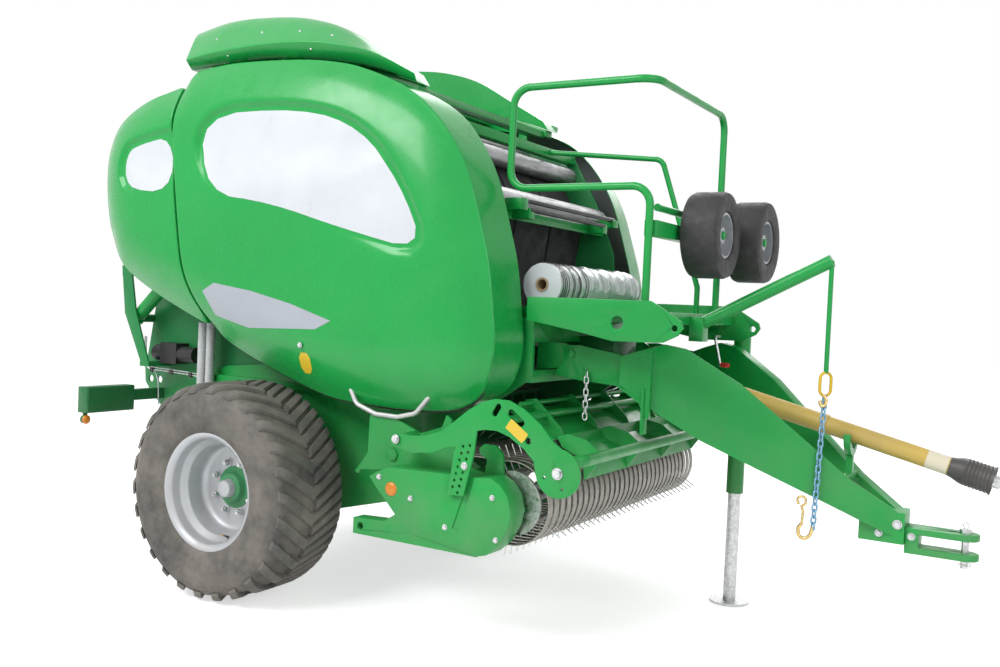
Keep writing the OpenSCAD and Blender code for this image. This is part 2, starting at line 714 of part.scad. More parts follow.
// wind guard
guard_line = [
  [1063, 951], [1102, 985], [1187, 982], [1255, 990], [1349, 1021], [1426, 1079], [1489, 1130],
  [1564, 1175],
  [1627, 1194], [1702, 1193], [1778, 1162], [1866, 1101], [1929, 1034], [1980, 1000], [1852, 876],
  [1839, 939], [1788, 986], [1711, 1032], [1647, 1052], [1584, 1051], [1539, 1041], [1528, 933],
  [1482, 736], [1398, 733],
  [1424, 932], [1430, 957], [1393, 953], [1300, 914], [1190, 902], [1069, 922]
];
// rows of holes in the strap: x and z of the first, and how many
strap_holes = [[1507, 971, 8], [1471, 963, 7]];
// slots in the plate: x and z of both ends, and width
guard_slots = [[1648, 1160, 1630, 1130, 30], [1716, 1136, 1766, 1100, 38], [1806, 1023, 1806, 1024, 30]];
tube_z = 935;
wing_y = 720;
module wind_guard() color(green) at_axle() {
  for (s = [-1, 1])
    on_side(s) {
      difference() {
        union() {
          side_plate(guard_line, guard_y, guard_t);
          cross_bar(1959, 898, 216, guard_y - guard_t / 2, guard_y + guard_t / 2);
        }
        cross_bar(guard_x, guard_z, 30 + 2 * play, guard_y - guard_t, guard_y + guard_t);
        translate([0, guard_y, 0]) for (c = guard_slots) side_slot(c, 2 * guard_t);
        for (row = strap_holes, k = [0 : row[2] - 1])
          cross_bar(row[0] - 7.9 * k, row[1] - 31.9 * k, 15, guard_y - guard_t, guard_y + guard_t);
        for (a = [200, 290])
          cross_bar(1959 + 70 * cos(a), 898 + 70 * sin(a), 16, guard_y - guard_t, guard_y + guard_t);
      }
      for (y = [200, 600])
        side_plate([[1480, 1100], [1500, 1150], [1560, 1160], [1700, 1030], [1725, 985], [1720, 980]], y, 8);
      for (y = [wing_y, wing_y / 3])
        side_plate([
            [1745, 1000], [1800, 1020], [1900, 1000], [1960, 955], [1990, tube_z],
            [1904, 815], [1896, 815], [1886, 908], [1775, 953]
          ], y, 6);
    }
  tube_path([
    [1915, -guard_y, tube_z], [1990, -pickup_half_w + 160, tube_z], [1990, pickup_half_w - 160, tube_z],
    [1915, guard_y, tube_z]
  ], 54, 120);
  cross_bar(1610, 1085, 38, -guard_y, guard_y);
  cross_bar(1535, 1135, 26, -wing_y, wing_y);
  sheet([[1480, 1095], [1600, 1040], [1725, 980]], 5);
  sheet([[1745, 1000], [1775, 953], [1890, 908], [1900, 815]], 5);
}

// long hole through a lengthwise plate: x and z of both its ends, its width
module side_slot(c, t) {
  for (k = [0, 2]) cross_bar(c[k], c[k + 1], c[4], -t / 2, t / 2);
  n = unit([c[3] - c[1], c[0] - c[2]]) * c[4] / 2;
  side_plate([
    [c[0] + n[0], c[1] + n[1]], [c[2] + n[0], c[3] + n[1]],
    [c[2] - n[0], c[3] - n[1]], [c[0] - n[0], c[1] - n[1]]
  ], 0, t);
}

// bent sheet across the wind guard, through a row of x and z
module sheet(p, t) {
  side = [for (i = [0 : len(p) - 1]) unit(p[min(i + 1, len(p) - 1)] - p[max(i - 1, 0)])];
  side_plate(concat(p, backwards([
    for (i = [0 : len(p) - 1]) [p[i][0] - side[i][1] * t, p[i][1] + side[i][0] * t]
  ])), 0, 2 * wing_y);
}

// drawbar: two rear plates, then two arms that meet at the hitch
lug_y = 494;
arm_pin = [1702, 1391];
arm_pin_d = 40;
arm_plate_t = 20;
arm_plate_y = lug_y + frame_t / 2 + seat + arm_plate_t / 2;
arm_x = 2000;
arm_y = 500;
// front end of the drawbar's nose, and the middle of an arm's front end across the machine
nose_x = hitch_x - 250;
arm_end_y = 40;
arm_turn = atan2(arm_y - arm_end_y, nose_x - 27 - arm_x);
arm_len = norm([arm_y - arm_end_y, nose_x - 27 - arm_x]);
arm_half = 30;
module along_arm() {
  translate([arm_x, arm_y, 0]) rotate([0, 0, -arm_turn]) children();
}

// peg on the plate for the guard chain: x and z
peg = [1800, 1300];
peg_d = 12;
module drawbar() color(green) at_axle() {
  for (s = [-1, 1])
    on_side(s) {
      side_plate([
        [1652, 1430], [1745, 1435], [1976, 1400], [2110, 1440], [2124, 1440], [2124, 1112],
        [2106, 1102], [2070, 1176], [2013, 1213], [1946, 1251], [1831, 1259], [1753, 1262], [1624, 1279],
        [1622, 1305], [1652, 1340]
      ], arm_plate_y, arm_plate_t);
      cross_bar(peg[0], peg[1], peg_d, arm_plate_y, arm_y + 60);
      cross_bar(arm_pin[0], arm_pin[1], arm_pin_d, lug_y - 22, arm_plate_y + 24);
      along_arm()
        side_plate([
          [-40, 1260], [-40, 1395], [60, 1430], [170, 1462], [271, 1445], [536, 1290],
          [arm_len - 231, hitch_z + 248], [arm_len, hitch_z + 105], [arm_len - 40, hitch_z + 3],
          [arm_len - 359, hitch_z + 142], [643, 890], [354, 1015], [135, 1135], [60, 1200]
        ], 0, 2 * arm_half);
      box([2086, arm_y - 20, 1029], [2098, arm_y + 35, 1250]);
    }
  box([nose_x - 200, -80, hitch_z - 30], [nose_x, 80, hitch_z + 115]);
  cross_bar(2150, 1150, 70, -arm_y + 60, arm_y - 60);
  box([shaft_ring_x - 15, -160, 855], [shaft_ring_x + 15, 160, 890]);
  box([shaft_ring_x - 15, -15, 880], [shaft_ring_x + 15, 15, shaft_ring_z - shield_d / 2 - 20]);
  translate([shaft_ring_x, 0, shaft_ring_z]) rotate([0, 90, 0]) difference() {
    translate([0, 0, -15]) cylinder(h = 30, r = shield_d / 2 + 44, $fn = 64);
    translate([0, 0, -20]) cylinder(h = 40, r = shield_d / 2 + 10, $fn = 64);
    translate([-200, -140, -20]) cube([200, 280, 40]);
  }
}

jaw = 30;
module hitch() color(green) at_axle() difference() {
  union() {
    for (z = [hitch_z + 20, hitch_z - 70]) {
      box([nose_x, -60, z], [hitch_x, 60, z + jaw]);
      translate([hitch_x, 0, z]) cylinder(h = jaw, r = 60, $fn = 48);
    }
    box([nose_x, -60, hitch_z - 70], [nose_x + 60, 60, hitch_z + 50]);
  }
  translate([hitch_x, 0, hitch_z - 100]) cylinder(h = 200, d = hitch_pin_d + 2, $fn = 48);
}

module hitch_pin() color(silver) at_axle() translate([hitch_x, 0, hitch_z]) {
  translate([0, 0, -110]) cylinder(h = 170, d = hitch_pin_d, $fn = 48);
  translate([0, 0, 50]) cylinder(h = 18, d = 54, $fn = 48);
}

// drive shaft
shaft_back = [1930, 0, 1332];
shaft_front = [hitch_x + 130, 0, hitch_z + 292];
shaft_dir = (shaft_front - shaft_back) / norm(shaft_front - shaft_back);
shaft_ring_x = nose_x - 270;
shaft_ring_z = shaft_back[2] + (shaft_ring_x - shaft_back[0]) * shaft_dir[2] / shaft_dir[0];
yoke_pin_d = 30;
yoke_bore_d = 35;
// depth of the lead-in at the yoke's mouth
lead_in = 5;
module drive_shaft() color(yellow) at_axle() difference() {
  union() {
    bar(shaft_back + shaft_dir * 60, shaft_front - shaft_dir * 60, shield_d);
    bar(shaft_back, shaft_front, 56);
    bar(shaft_back + shaft_dir * 50, shaft_back + shaft_dir * 200, shield_d + 40);
    bar(shaft_front - shaft_dir * 200, shaft_front - shaft_dir * 50, shield_d + 40);
    cross_bar(shaft_back[0], shaft_back[2], yoke_pin_d, -70, 70);
  }
  bar(shaft_front - shaft_dir * 80, shaft_front + shaft_dir * 10, yoke_bore_d);
  bar(shaft_front - shaft_dir * lead_in, shaft_front + shaft_dir, yoke_bore_d,
    yoke_bore_d + 2 * (lead_in + 1) * 0.8);
}

module gearbox() color(dark_green) at_axle() {
  box([1450, -110, 1300], [1560, 110, 1440]);
  box([1560, -150, 1220], [1760, 150, 1470]);
  cross_bar(1500, 1370, 60, 110, lug_y - frame_t / 2);
  bar([1750, 0, shaft_back[2]], [1850, 0, shaft_back[2]], 90);
  difference() {
    union() {
      for (s = [-1, 1]) on_side(s) box([1830, 56, shaft_back[2] - 32], [1958, 72, shaft_back[2] + 32]);
      box([1830, -72, shaft_back[2] - 32], [1850, 72, shaft_back[2] + 32]);
    }
    cross_bar(shaft_back[0], shaft_back[2], yoke_pin_d + 2 * play, -100, 100);
  }
}

// parking jack on the left arm, its axis beside the arm
jack_s = 190;
jack_off = 140;
jack_wall = 12;
module at_jack() {
  at_axle() along_arm() translate([jack_s, jack_off, 0]) children();
}

module jack_housing() color(green) at_jack() {
  difference() {
    union() {
      translate([0, 0, 620]) cylinder(h = 940, d = jack_leg_d + 2 * jack_wall, $fn = 48);
      box([-60, arm_half + seat - jack_off, 1190], [60, 0, 1330]);
    }
    translate([0, 0, 610]) cylinder(h = 920, d = jack_leg_d + 2 * play, $fn = 48);
  }
  translate([0, 0, 1555]) cylinder(h = 30, d = 60, $fn = 48);
  translate([0, 0, 1500]) rotate([90, 0, 0]) cylinder(h = 80, d = 24, $fn = 32);
}

module jack_leg() color(silver) at_jack() {
  translate([0, 0, 10]) cylinder(h = 900, d = jack_leg_d, $fn = 48);
  cylinder(h = 14, d = 220, $fn = 48);
}

// loading platform
floor_z = 1616;
floor_y = [-750, 450];
module platform() color(green) at_axle() {
  for (y = floor_y)
    difference() {
      side_plate([
        [1567, 1550], [1567, 1662], [1835, 1664], [2200, 1665], [2249, 1639], [2348, 1579], [2358, 1548],
        [2335, 1515], [2266, 1480], [2228, 1477], [2018, 1473], [1852, 1505]
      ], y, 14);
      cross_bar(2317, 1546, 30, y - 10, y + 10);
      cross_bar(2040, 1560, 60, y - 10, y + 10);
    }
  box([1560, floor_y[0], floor_z - 16], [2200, floor_y[1], floor_z]);
  for (x = [1900, 2150]) box([x, floor_y[0], 1560], [x + 50, floor_y[1], floor_z - 10]);
  box([1445, -600, 1560], [1610, floor_y[1], floor_z]);
}

module net_roll() color([0.85, 0.88, 0.92]) at_axle()
  cross_bar(1560, floor_z + net_d / 2, net_d, -600, 400);

far_y = 290;
rail_top = 2680;
rail_mid = 2190;
rail_x0 = 1410;
module guard_rails() color(green) at_axle() {
  tube_path([
    [rail_x, -rail_y, floor_z], [rail_x, -rail_y, rail_mid], [rail_x0, -rail_y, rail_mid],
    [rail_x0, -rail_y, rail_top], [rail_x, -rail_y, rail_top], [rail_x, far_y, rail_top],
    [rail_x, far_y, floor_z]
  ], rail_d, 90);
  bar([rail_x, 90 - rail_y, rail_mid - 90], [rail_x, far_y, rail_mid - 90], rail_d);
}

module handrail() color(green) at_axle()
  tube_path([[1092, 300, 2530], [1800, 300, 2465], [2040, 300, 1760], [2040, 300, floor_z]], rail_d - 6, 60);

gauge_z = 2000;
// distance ahead of the rails and y of both stored wheels
gauge_at = [[140, -250], [210, 210]];
module gauge_carrier() color(green) at_axle() {
  box(
    [rail_x - 30, -rail_y + rail_d / 2 + seat, gauge_z - 35],
    [rail_x + 30, far_y - rail_d / 2 - seat, gauge_z + 35]
  );
  for (g = gauge_at) cross_x(g[1], gauge_z, 40, rail_x - 50, rail_x + g[0] + 70);
}

module at_gauge(g) {
  at_axle() translate([rail_x + g[0], g[1], gauge_z]) rotate([0, 90, 0]) children();
}

module gauge_wheel(g) color(rubber_black) at_gauge(g)
  difference() {
    cylinder(h = gauge_w, d = gauge_d, center = true, $fn = 96);
    cylinder(h = gauge_w + 2, d = 220, center = true, $fn = 64);
  }

module gauge_rim(g) color(silver) at_gauge(g)
  difference() {
    union() {
      difference() {
        cylinder(h = gauge_w - 30, d = 220, center = true, $fn = 64);
        cylinder(h = gauge_w, d = 200, center = true, $fn = 64);
      }
      cylinder(h = 10, d = 206, center = true, $fn = 64);
      cylinder(h = 120, d = 80, center = true, $fn = 64);
    }
    cylinder(h = gauge_w + 2, d = 40 + 2 * play, center = true, $fn = 64);
  }

// lower end of the rod that carries the chain
hose_arm_z = 1370;
module hose_arm() color(green) at_axle() {
  bar([2235, -200, 1560], [2860, -200, 1890], 62);
  box([2200, -240, 1480], [2270, -160, 1600]);
  bar([2860, -200, 1890], [2860, -200, hose_arm_z], 22);
}

// chain of flat-sided links hanging down, every second one turned
link_len = 46;
link_wide = 30;
link_wire = 8;
module chain(n) {
  inner = link_len - 2 * link_wire;
  for (i = [0 : n - 1])
    translate([0, 0, -i * (inner - seat)])
      rotate([0, 0, i % 2 * 90])
        rotate([90, 0, 0])
          translate([0, 0, -link_wire / 2])
            linear_extrude(height = link_wire)
              difference() {
                link_shape(link_len, link_wide);
                link_shape(inner, link_wide - 2 * link_wire);
              }
}

module link_shape(long, wide) {
  c = wide * 0.3;
  polygon([
    [-wide / 2, c - long / 2], [-wide / 2, long / 2 - c], [c - wide / 2, long / 2], [wide / 2 - c, long / 2],
    [wide / 2, long / 2 - c], [wide / 2, c - long / 2], [wide / 2 - c, -long / 2], [c - wide / 2, -long / 2]
  ]);
}

module safety_chain() color([0.4, 0.6, 0.8]) at_axle()
  translate([2860, -200, hose_arm_z - link_len / 2 - seat]) chain(11);

module guard_chain() color(silver) at_axle()
  translate([peg[0], -arm_y - 46, peg[1] + peg_d / 2 + seat + link_wire - link_len / 2]) chain(8);

lamp_x = -1100;
module tail_lamps() color(dark_green) at_axle() for (s = [-1, 1]) on_side(s) {
  box([lamp_x - 40, 870, 880], [lamp_x + 40, 1200, 1030]);
  box([lamp_x - 24, tail_out + seat, 935], [lamp_x + 24, 870, 1000]);
  cross_x(1180, 840, 50, lamp_x - 12, lamp_x + 12);
  box([lamp_x - 6, 1168, 840], [lamp_x + 6, 1192, 880]);
}

module duct_tubes() color([0.6, 0.62, 0.64]) at_axle()
  for (x = [-640, -572])
    translate([x, -cyl_y + 16, 997]) cylinder(h = 436, d = 56, $fn = 32);

module valve_block() color(black) at_axle() {
  box([-1010, -tail_out - 100, 1165], [-870, -tail_out, 1290]);
  cross_x(-tail_out - 52, 1225, 96, -1090, -740);
}

main_frame();
axle_beam();
chamber_sides();
chamber_rollers();
front_belts();
top_frame();
hinge_shaft();
hoods();
door_panel(-1);  // door_right
door_panel(1);  // door_left
door_handle(-1);  // door_handle_right
door_handle(1);  // door_handle_left
rear_panels();
tail_sides();
tail_roller_set();  // tail_rollers
rear_belts();
cylinder_barrel(-1);  // cylinder_barrel_right
cylinder_barrel(1);  // cylinder_barrel_left
cylinder_rod(-1);  // cylinder_rod_right
cylinder_rod(1);  // cylinder_rod_left
tyre(-1);  // tyre_right
tyre(1);  // tyre_left
rim(-1);  // rim_right
rim(1);  // rim_left
hub(-1);  // hub_right
hub(1);  // hub_left
pickup_frame();
pickup_covers();
stripper_bands();
reel();
feed_rotor();
wind_guard();
drawbar();
hitch();
hitch_pin();
drive_shaft();
gearbox();
jack_housing();
jack_leg();
platform();
net_roll();
guard_rails();
handrail();
gauge_carrier();
gauge_wheel(gauge_at[0]);  // gauge_tyre_right
gauge_wheel(gauge_at[1]);  // gauge_tyre_left
gauge_rim(gauge_at[0]);  // gauge_rim_right
gauge_rim(gauge_at[1]);  // gauge_rim_left
hose_arm();
safety_chain();
guard_chain();
tail_lamps();
duct_tubes();
valve_block();
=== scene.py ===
"""Looks of a round baler: finishes, fine panels, tyres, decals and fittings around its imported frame."""

import math
import random

import bmesh
import bpy
import numpy as np
from mathutils import Matrix, Vector
from mathutils.bvhtree import BVHTree


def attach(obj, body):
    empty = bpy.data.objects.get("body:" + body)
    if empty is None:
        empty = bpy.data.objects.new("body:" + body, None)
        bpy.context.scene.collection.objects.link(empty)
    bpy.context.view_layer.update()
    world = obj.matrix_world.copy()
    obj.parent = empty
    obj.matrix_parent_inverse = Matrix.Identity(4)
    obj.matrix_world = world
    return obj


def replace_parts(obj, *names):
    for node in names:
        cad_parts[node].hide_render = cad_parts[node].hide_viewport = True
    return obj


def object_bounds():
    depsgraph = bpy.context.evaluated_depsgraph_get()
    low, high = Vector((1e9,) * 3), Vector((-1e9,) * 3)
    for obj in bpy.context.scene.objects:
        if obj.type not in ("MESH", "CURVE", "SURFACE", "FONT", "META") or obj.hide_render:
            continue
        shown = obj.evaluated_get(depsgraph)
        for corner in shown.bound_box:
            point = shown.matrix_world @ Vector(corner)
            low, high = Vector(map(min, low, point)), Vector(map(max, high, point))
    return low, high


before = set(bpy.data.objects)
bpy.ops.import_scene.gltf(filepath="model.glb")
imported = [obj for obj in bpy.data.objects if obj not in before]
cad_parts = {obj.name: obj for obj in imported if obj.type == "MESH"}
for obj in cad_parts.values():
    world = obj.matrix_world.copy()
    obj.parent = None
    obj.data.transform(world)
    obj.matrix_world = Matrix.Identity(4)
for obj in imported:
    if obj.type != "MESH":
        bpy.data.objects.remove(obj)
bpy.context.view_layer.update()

MM = 0.001
AXLE_X = -1165
RIGHT, LEFT = -1, 1
SIDES = {RIGHT: "right", LEFT: "left"}


def at(x, y, z):
    """Point in metres from millimetres, with x counted from the wheel axle."""
    return Vector(((AXLE_X + x) * MM, y * MM, z * MM))


def show(made):
    """Puts a new object into the scene."""
    bpy.context.scene.collection.objects.link(made)
    return made


# materials


class Shader:
    """A principled material with short calls for its texture nodes."""

    def __init__(self, name, **sockets):
        self.material = bpy.data.materials.new(name)
        self.material.use_nodes = True
        self.tree = self.material.node_tree
        self.surface = self.tree.nodes["Principled BSDF"]
        self.place = self.node("ShaderNodeTexCoord").outputs["Object"]
        for key, value in sockets.items():
            self.surface.inputs[key.replace("_", " ")].default_value = value

    def node(self, kind, links=None, values=None, **settings):
        made = self.tree.nodes.new(kind)
        for key, value in settings.items():
            setattr(made, key, value)
        for key, value in (values or {}).items():
            made.inputs[key].default_value = value
        for key, output in (links or {}).items():
            self.tree.links.new(output, made.inputs[key])
        return made

    def noise(self, scale, detail=3.0, rough=0.5, stretch=(1, 1, 1)):
        placed = self.node("ShaderNodeMapping", {"Vector": self.place}, {"Scale": stretch})
        values = {"Scale": scale, "Detail": detail, "Roughness": rough}
        return self.node("ShaderNodeTexNoise", {"Vector": placed.outputs[0]}, values).outputs[0]

    def ramp(self, factor, *stops):
        made = self.node("ShaderNodeValToRGB", {"Fac": factor})
        elements = made.color_ramp.elements
        while len(elements) < len(stops):
            elements.new(0.5)
        for element, (where, colour) in zip(elements, stops):
            element.position = where
            element.color = (*colour, 1) if len(colour) == 3 else colour
        return made.outputs[0]

    def level(self, factor, low, high, start=0.0, end=1.0):
        values = {"From Min": start, "From Max": end, "To Min": low, "To Max": high}
        return self.node("ShaderNodeMapRange", {"Value": factor}, values).outputs[0]

    def mix(self, factor, a, b, blend="MIX"):
        made = self.node("ShaderNodeMix", data_type="RGBA", blend_type=blend)
        self.put(factor, made.inputs[0])
        self.put(a, made.inputs[6])
        self.put(b, made.inputs[7])
        return made.outputs[2]

    def put(self, value, socket):
        if isinstance(value, bpy.types.NodeSocket):
            self.tree.links.new(value, socket)
        else:
            socket.default_value = (*value, 1) if isinstance(value, tuple) and len(value) == 3 else value

    def math(self, operation, a, b=0.0):
        made = self.node("ShaderNodeMath", operation=operation)
        self.put(a, made.inputs[0])
        self.put(b, made.inputs[1])
        return made.outputs[0]

    def height(self):
        """Height over the ground in metres at rest."""
        return self.node("ShaderNodeSeparateXYZ", {"Vector": self.place}).outputs[2]

    def colour(self, value):
        self.tree.links.new(value, self.surface.inputs["Base Color"])

    def rough(self, value):
        self.tree.links.new(value, self.surface.inputs["Roughness"])

    def patches(self, noise, value, less, more):
        """A value that varies in patches, from less under it to more over it."""
        return self.level(noise, value - less, value + more, 0.3, 0.7)

    def bump(self, height, distance, strength=1.0):
        made = self.node("ShaderNodeBump", {"Height": height}, {"Distance": distance, "Strength": strength})
        self.tree.links.new(made.outputs[0], self.surface.inputs["Normal"])


DUST = (0.30, 0.27, 0.23)


def darker(colour, share):
    return tuple(c * share for c in colour)


def dusty(shader, colour, low, high, most, floor=0.0):
    """Lays pale dust over a colour, most near the ground, in patches."""
    near = shader.level(shader.height(), most, floor, low, high)
    patches = shader.level(shader.noise(5.0, 6.0, 0.65), 0.25, 1.0, 0.35, 0.65)
    return shader.mix(shader.math("MULTIPLY", near, patches), colour, DUST)


def paint(name, base, shade=0.8, rough=0.27, dust=0.30, coat=0.1, metallic=0.0):
    """Gloss paint on steel: slight tone changes, orange peel, film of dust near the ground."""
    s = Shader(name, Metallic=metallic, Coat_Weight=coat, Coat_Roughness=0.12, Specular_IOR_Level=0.32)
    colour = s.ramp(s.noise(1.1, 4.0, 0.55), (0.35, darker(base, shade)), (0.68, base))
    speck = s.ramp(s.noise(320.0, 2.0), (0.30, (0.86, 0.86, 0.86)), (0.42, (1, 1, 1)))
    colour = s.mix(0.5, colour, s.mix(1.0, colour, speck, "MULTIPLY"))
    s.colour(dusty(s, colour, 0.25, 1.25, dust, 0.03))
    smears = s.patches(s.noise(7.0, 5.0, 0.6), rough, 0.07, 0.16)
    s.rough(s.math("ADD", smears, s.level(s.height(), 0.18, 0.0, 0.2, 1.2)))
    s.bump(s.noise(230.0, 2.0), 0.0003, 0.22)
    return s.material


def bare_metal(name, base, rough=0.3, dust=0.25, grain=60.0, streak=(1, 1, 1)):
    """Plated or bright steel with rubbed streaks."""
    s = Shader(name, Metallic=1.0)
    colour = s.ramp(s.noise(grain, 6.0, 0.6, streak), (0.32, darker(base, 0.62)), (0.6, base))
    s.colour(dusty(s, colour, 0.2, 1.4, dust))
    s.rough(s.patches(s.noise(grain * 0.6, 4.0, 0.6, streak), rough, 0.08, 0.2))
    s.bump(s.noise(grain * 5, 3.0, 0.6, streak), 0.0004, 0.35)
    return s.material


def rubber(name, base=(0.035, 0.035, 0.037), dust=0.5, rough=0.75, most_high=0.5):
    """Rubber with ground-in dust and fine grain."""
    s = Shader(name, Specular_IOR_Level=0.35)
    colour = s.ramp(s.noise(16.0, 7.0, 0.66), (0.34, base), (0.72, darker(base, 2.1)))
    s.colour(dusty(s, colour, 0.1, 1.2, dust, dust * most_high))
    s.rough(s.patches(s.noise(22.0, 4.0), rough, 0.1, 0.15))
    s.bump(s.noise(260.0, 4.0, 0.7), 0.0008, 0.5)
    return s.material


def belt_rubber(name):
    """Conveyor rubber with a raised diamond pattern."""
    s = Shader(name, Specular_IOR_Level=0.3)
    s.colour(s.ramp(s.noise(9.0, 6.0, 0.6), (0.35, (0.018, 0.018, 0.019)), (0.7, (0.05, 0.05, 0.052))))
    s.rough(s.level(s.noise(14.0, 4.0), 0.55, 0.8, 0.3, 0.7))
    values = {"Rotation": (0.785, 0.785, 0.6), "Scale": (55, 55, 55)}
    turned = s.node("ShaderNodeMapping", {"Vector": s.place}, values)
    cells = s.node("ShaderNodeTexVoronoi", {"Vector": turned.outputs[0]}, {"Scale": 1.0, "Randomness": 0.0})
    s.bump(cells.outputs["Distance"], 0.003, 0.7)
    return s.material


def plastic(name, base, rough=0.4, dust=0.15):
    """Moulded plastic with a fine grain."""
    s = Shader(name)
    colour = s.ramp(s.noise(4.0, 5.0, 0.6), (0.3, darker(base, 0.82)), (0.7, base))
    s.colour(dusty(s, colour, 0.2, 1.5, dust, dust * 0.4))
    s.rough(s.patches(s.noise(12.0, 4.0), rough, 0.08, 0.14))
    s.bump(s.noise(420.0, 2.0), 0.0004, 0.4)
    return s.material


def vinyl(name, base, rough=0.33):
    """Plain sticker film with faint waves and scuffs."""
    s = Shader(name, Coat_Weight=0.3, Coat_Roughness=0.2)
    colour = s.ramp(s.noise(3.0, 5.0, 0.6), (0.3, darker(base, 0.92)), (0.65, base))
    scuff = s.ramp(s.noise(90.0, 5.0, 0.7), (0.28, (0.8, 0.8, 0.8)), (0.36, (1, 1, 1)))
    s.colour(s.mix(0.4, colour, s.mix(1.0, colour, scuff, "MULTIPLY")))
    s.rough(s.patches(s.noise(6.0, 4.0), rough, 0.06, 0.12))
    s.bump(s.noise(40.0, 2.0), 0.0002, 0.3)
    return s.material


def glowing_plastic(name, base):
    """Translucent lens plastic with moulded prisms, and a faint painted glow."""
    s = Shader(name, Transmission_Weight=0.25, Roughness=0.16)
    # faint emission in the lens's own colour: painted glow of caught light, on the pickup's reflectors and
    # the unlit lamps alike
    s.surface.inputs["Emission Color"].default_value = (*base, 1)
    s.surface.inputs["Emission Strength"].default_value = 0.06
    s.colour(s.ramp(s.noise(25.0, 3.0), (0.3, darker(base, 0.8)), (0.7, base)))
    cells = s.node("ShaderNodeTexVoronoi", {"Vector": s.place}, {"Scale": 260.0, "Randomness": 0.1})
    s.bump(cells.outputs["Distance"], 0.0006, 0.5)
    return s.material


def net_film(name):
    """Net roll wrapped in glossy crinkled film, with pale windings under it and painted shade in its folds.
    """
    s = Shader(name, Coat_Weight=0.9, Coat_Roughness=0.08, Transmission_Weight=0.05)
    values = {"Scale": 3.0, "Distortion": 2.0, "Detail": 3.0}
    rings = s.node("ShaderNodeTexWave", {"Vector": s.place}, values, bands_direction="Y")
    colour = s.ramp(rings.outputs[0], (0.2, (0.72, 0.76, 0.80)), (0.8, (0.86, 0.88, 0.90)))
    folds_and_crease_shade = s.noise(26.0, 6.0, 0.72, (0.6, 2.4, 0.6))
    # the film is painted blue-grey where it folds: painted shade in its creases
    s.colour(s.mix(s.level(folds_and_crease_shade, 0.0, 0.8, 0.5, 0.68), colour, (0.42, 0.46, 0.52)))
    s.rough(s.level(folds_and_crease_shade, 0.12, 0.42, 0.3, 0.7))
    s.bump(folds_and_crease_shade, 0.012, 0.8)
    return s.material


GREEN = (0.004, 0.36, 0.062)
DEEP_GREEN = (0.006, 0.17, 0.045)
M = {
    "green": paint("green_paint", GREEN),
    "panel": paint("panel_paint", GREEN, shade=0.92, rough=0.24, dust=0.06, coat=0.22),
    "deep_green": paint("deep_green_paint", DEEP_GREEN, rough=0.34),
    # the body's green darkened for the chamber's and tail's inner walls: painted shade inside the machine
    "inner_shade_green": paint("inner_shade_green_paint", (0.008, 0.24, 0.06), rough=0.4, dust=0.4),
    "wheel_silver": paint("wheel_silver_paint", (0.55, 0.57, 0.60), rough=0.34, metallic=0.55, dust=0.35),
    "shaft_yellow": plastic("shaft_yellow_plastic", (0.62, 0.43, 0.08), rough=0.45, dust=0.3),
    "tyre": rubber("tyre_rubber", dust=0.72, most_high=0.7),
    "small_tyre": rubber("small_tyre_rubber", (0.02, 0.02, 0.022), dust=0.12, rough=0.55),
    "tyre_bar": rubber("tyre_bar_rubber", (0.05, 0.05, 0.05), dust=0.6, most_high=0.8, rough=0.7),
    "hub_green": paint("hub_green_paint", (0.02, 0.30, 0.10), rough=0.35, dust=0.35),
    "belt": belt_rubber("belt_rubber"),
    "seal": rubber("seal_rubber", (0.012, 0.012, 0.013), dust=0.2, rough=0.5),
    "steel": bare_metal("roller_steel", (0.42, 0.42, 0.43), rough=0.38, streak=(1, 0.15, 1)),
    "chrome": bare_metal("chrome_steel", (0.82, 0.83, 0.85), rough=0.16, dust=0.05, grain=20.0),
    "zinc": bare_metal("zinc_steel", (0.68, 0.69, 0.70), rough=0.34, dust=0.2),
    "band": bare_metal("band_steel", (0.36, 0.34, 0.31), rough=0.42, grain=24.0, streak=(1, 3, 1)),
    "tine": bare_metal("tine_steel", (0.62, 0.62, 0.62), rough=0.3, dust=0.1),
    "blue_chain": paint("blue_chain_zinc", (0.25, 0.47, 0.66), rough=0.3, metallic=0.7, dust=0.05),
    "black_metal": paint("black_metal_paint", (0.018, 0.018, 0.02), rough=0.4, dust=0.35),
    "black": plastic("black_plastic", (0.02, 0.02, 0.022), rough=0.42, dust=0.2),
    "duct": plastic("duct_plastic", (0.62, 0.64, 0.65), rough=0.45, dust=0.2),
    "white": vinyl("white_field_film", (0.66, 0.69, 0.73)),
    "silver": vinyl("silver_field_film", (0.40, 0.43, 0.48), rough=0.42),
    "yellow": vinyl("yellow_sticker_film", (0.80, 0.55, 0.03)),
    "cream": vinyl("cream_sticker_film", (0.72, 0.66, 0.5)),
    "orange": glowing_plastic("orange_lens", (0.95, 0.30, 0.02)),
    "red": plastic("red_grip_plastic", (0.62, 0.02, 0.02), rough=0.35),
    "yellow_link": paint("yellow_link_paint", (0.85, 0.55, 0.02), rough=0.35, dust=0.05),
    "red_lens": glowing_plastic("red_lens_plastic", (0.62, 0.015, 0.01)),
    "shaft_black": plastic("shaft_bell_plastic", (0.03, 0.03, 0.032), rough=0.5, dust=0.3),
    "silver_bar": paint("silver_bar_paint", (0.66, 0.66, 0.67), rough=0.36, metallic=0.4, dust=0.1),
    "card": plastic("card_core", (0.42, 0.30, 0.18), rough=0.7),
    "gold": bare_metal("gold_zinc_hook", (0.72, 0.53, 0.22), rough=0.3, dust=0.05),
    "net": net_film("net_film"),
    "grey_inner": paint("grey_inner_paint", (0.30, 0.33, 0.33), rough=0.5, dust=0.2, coat=0.0),
}

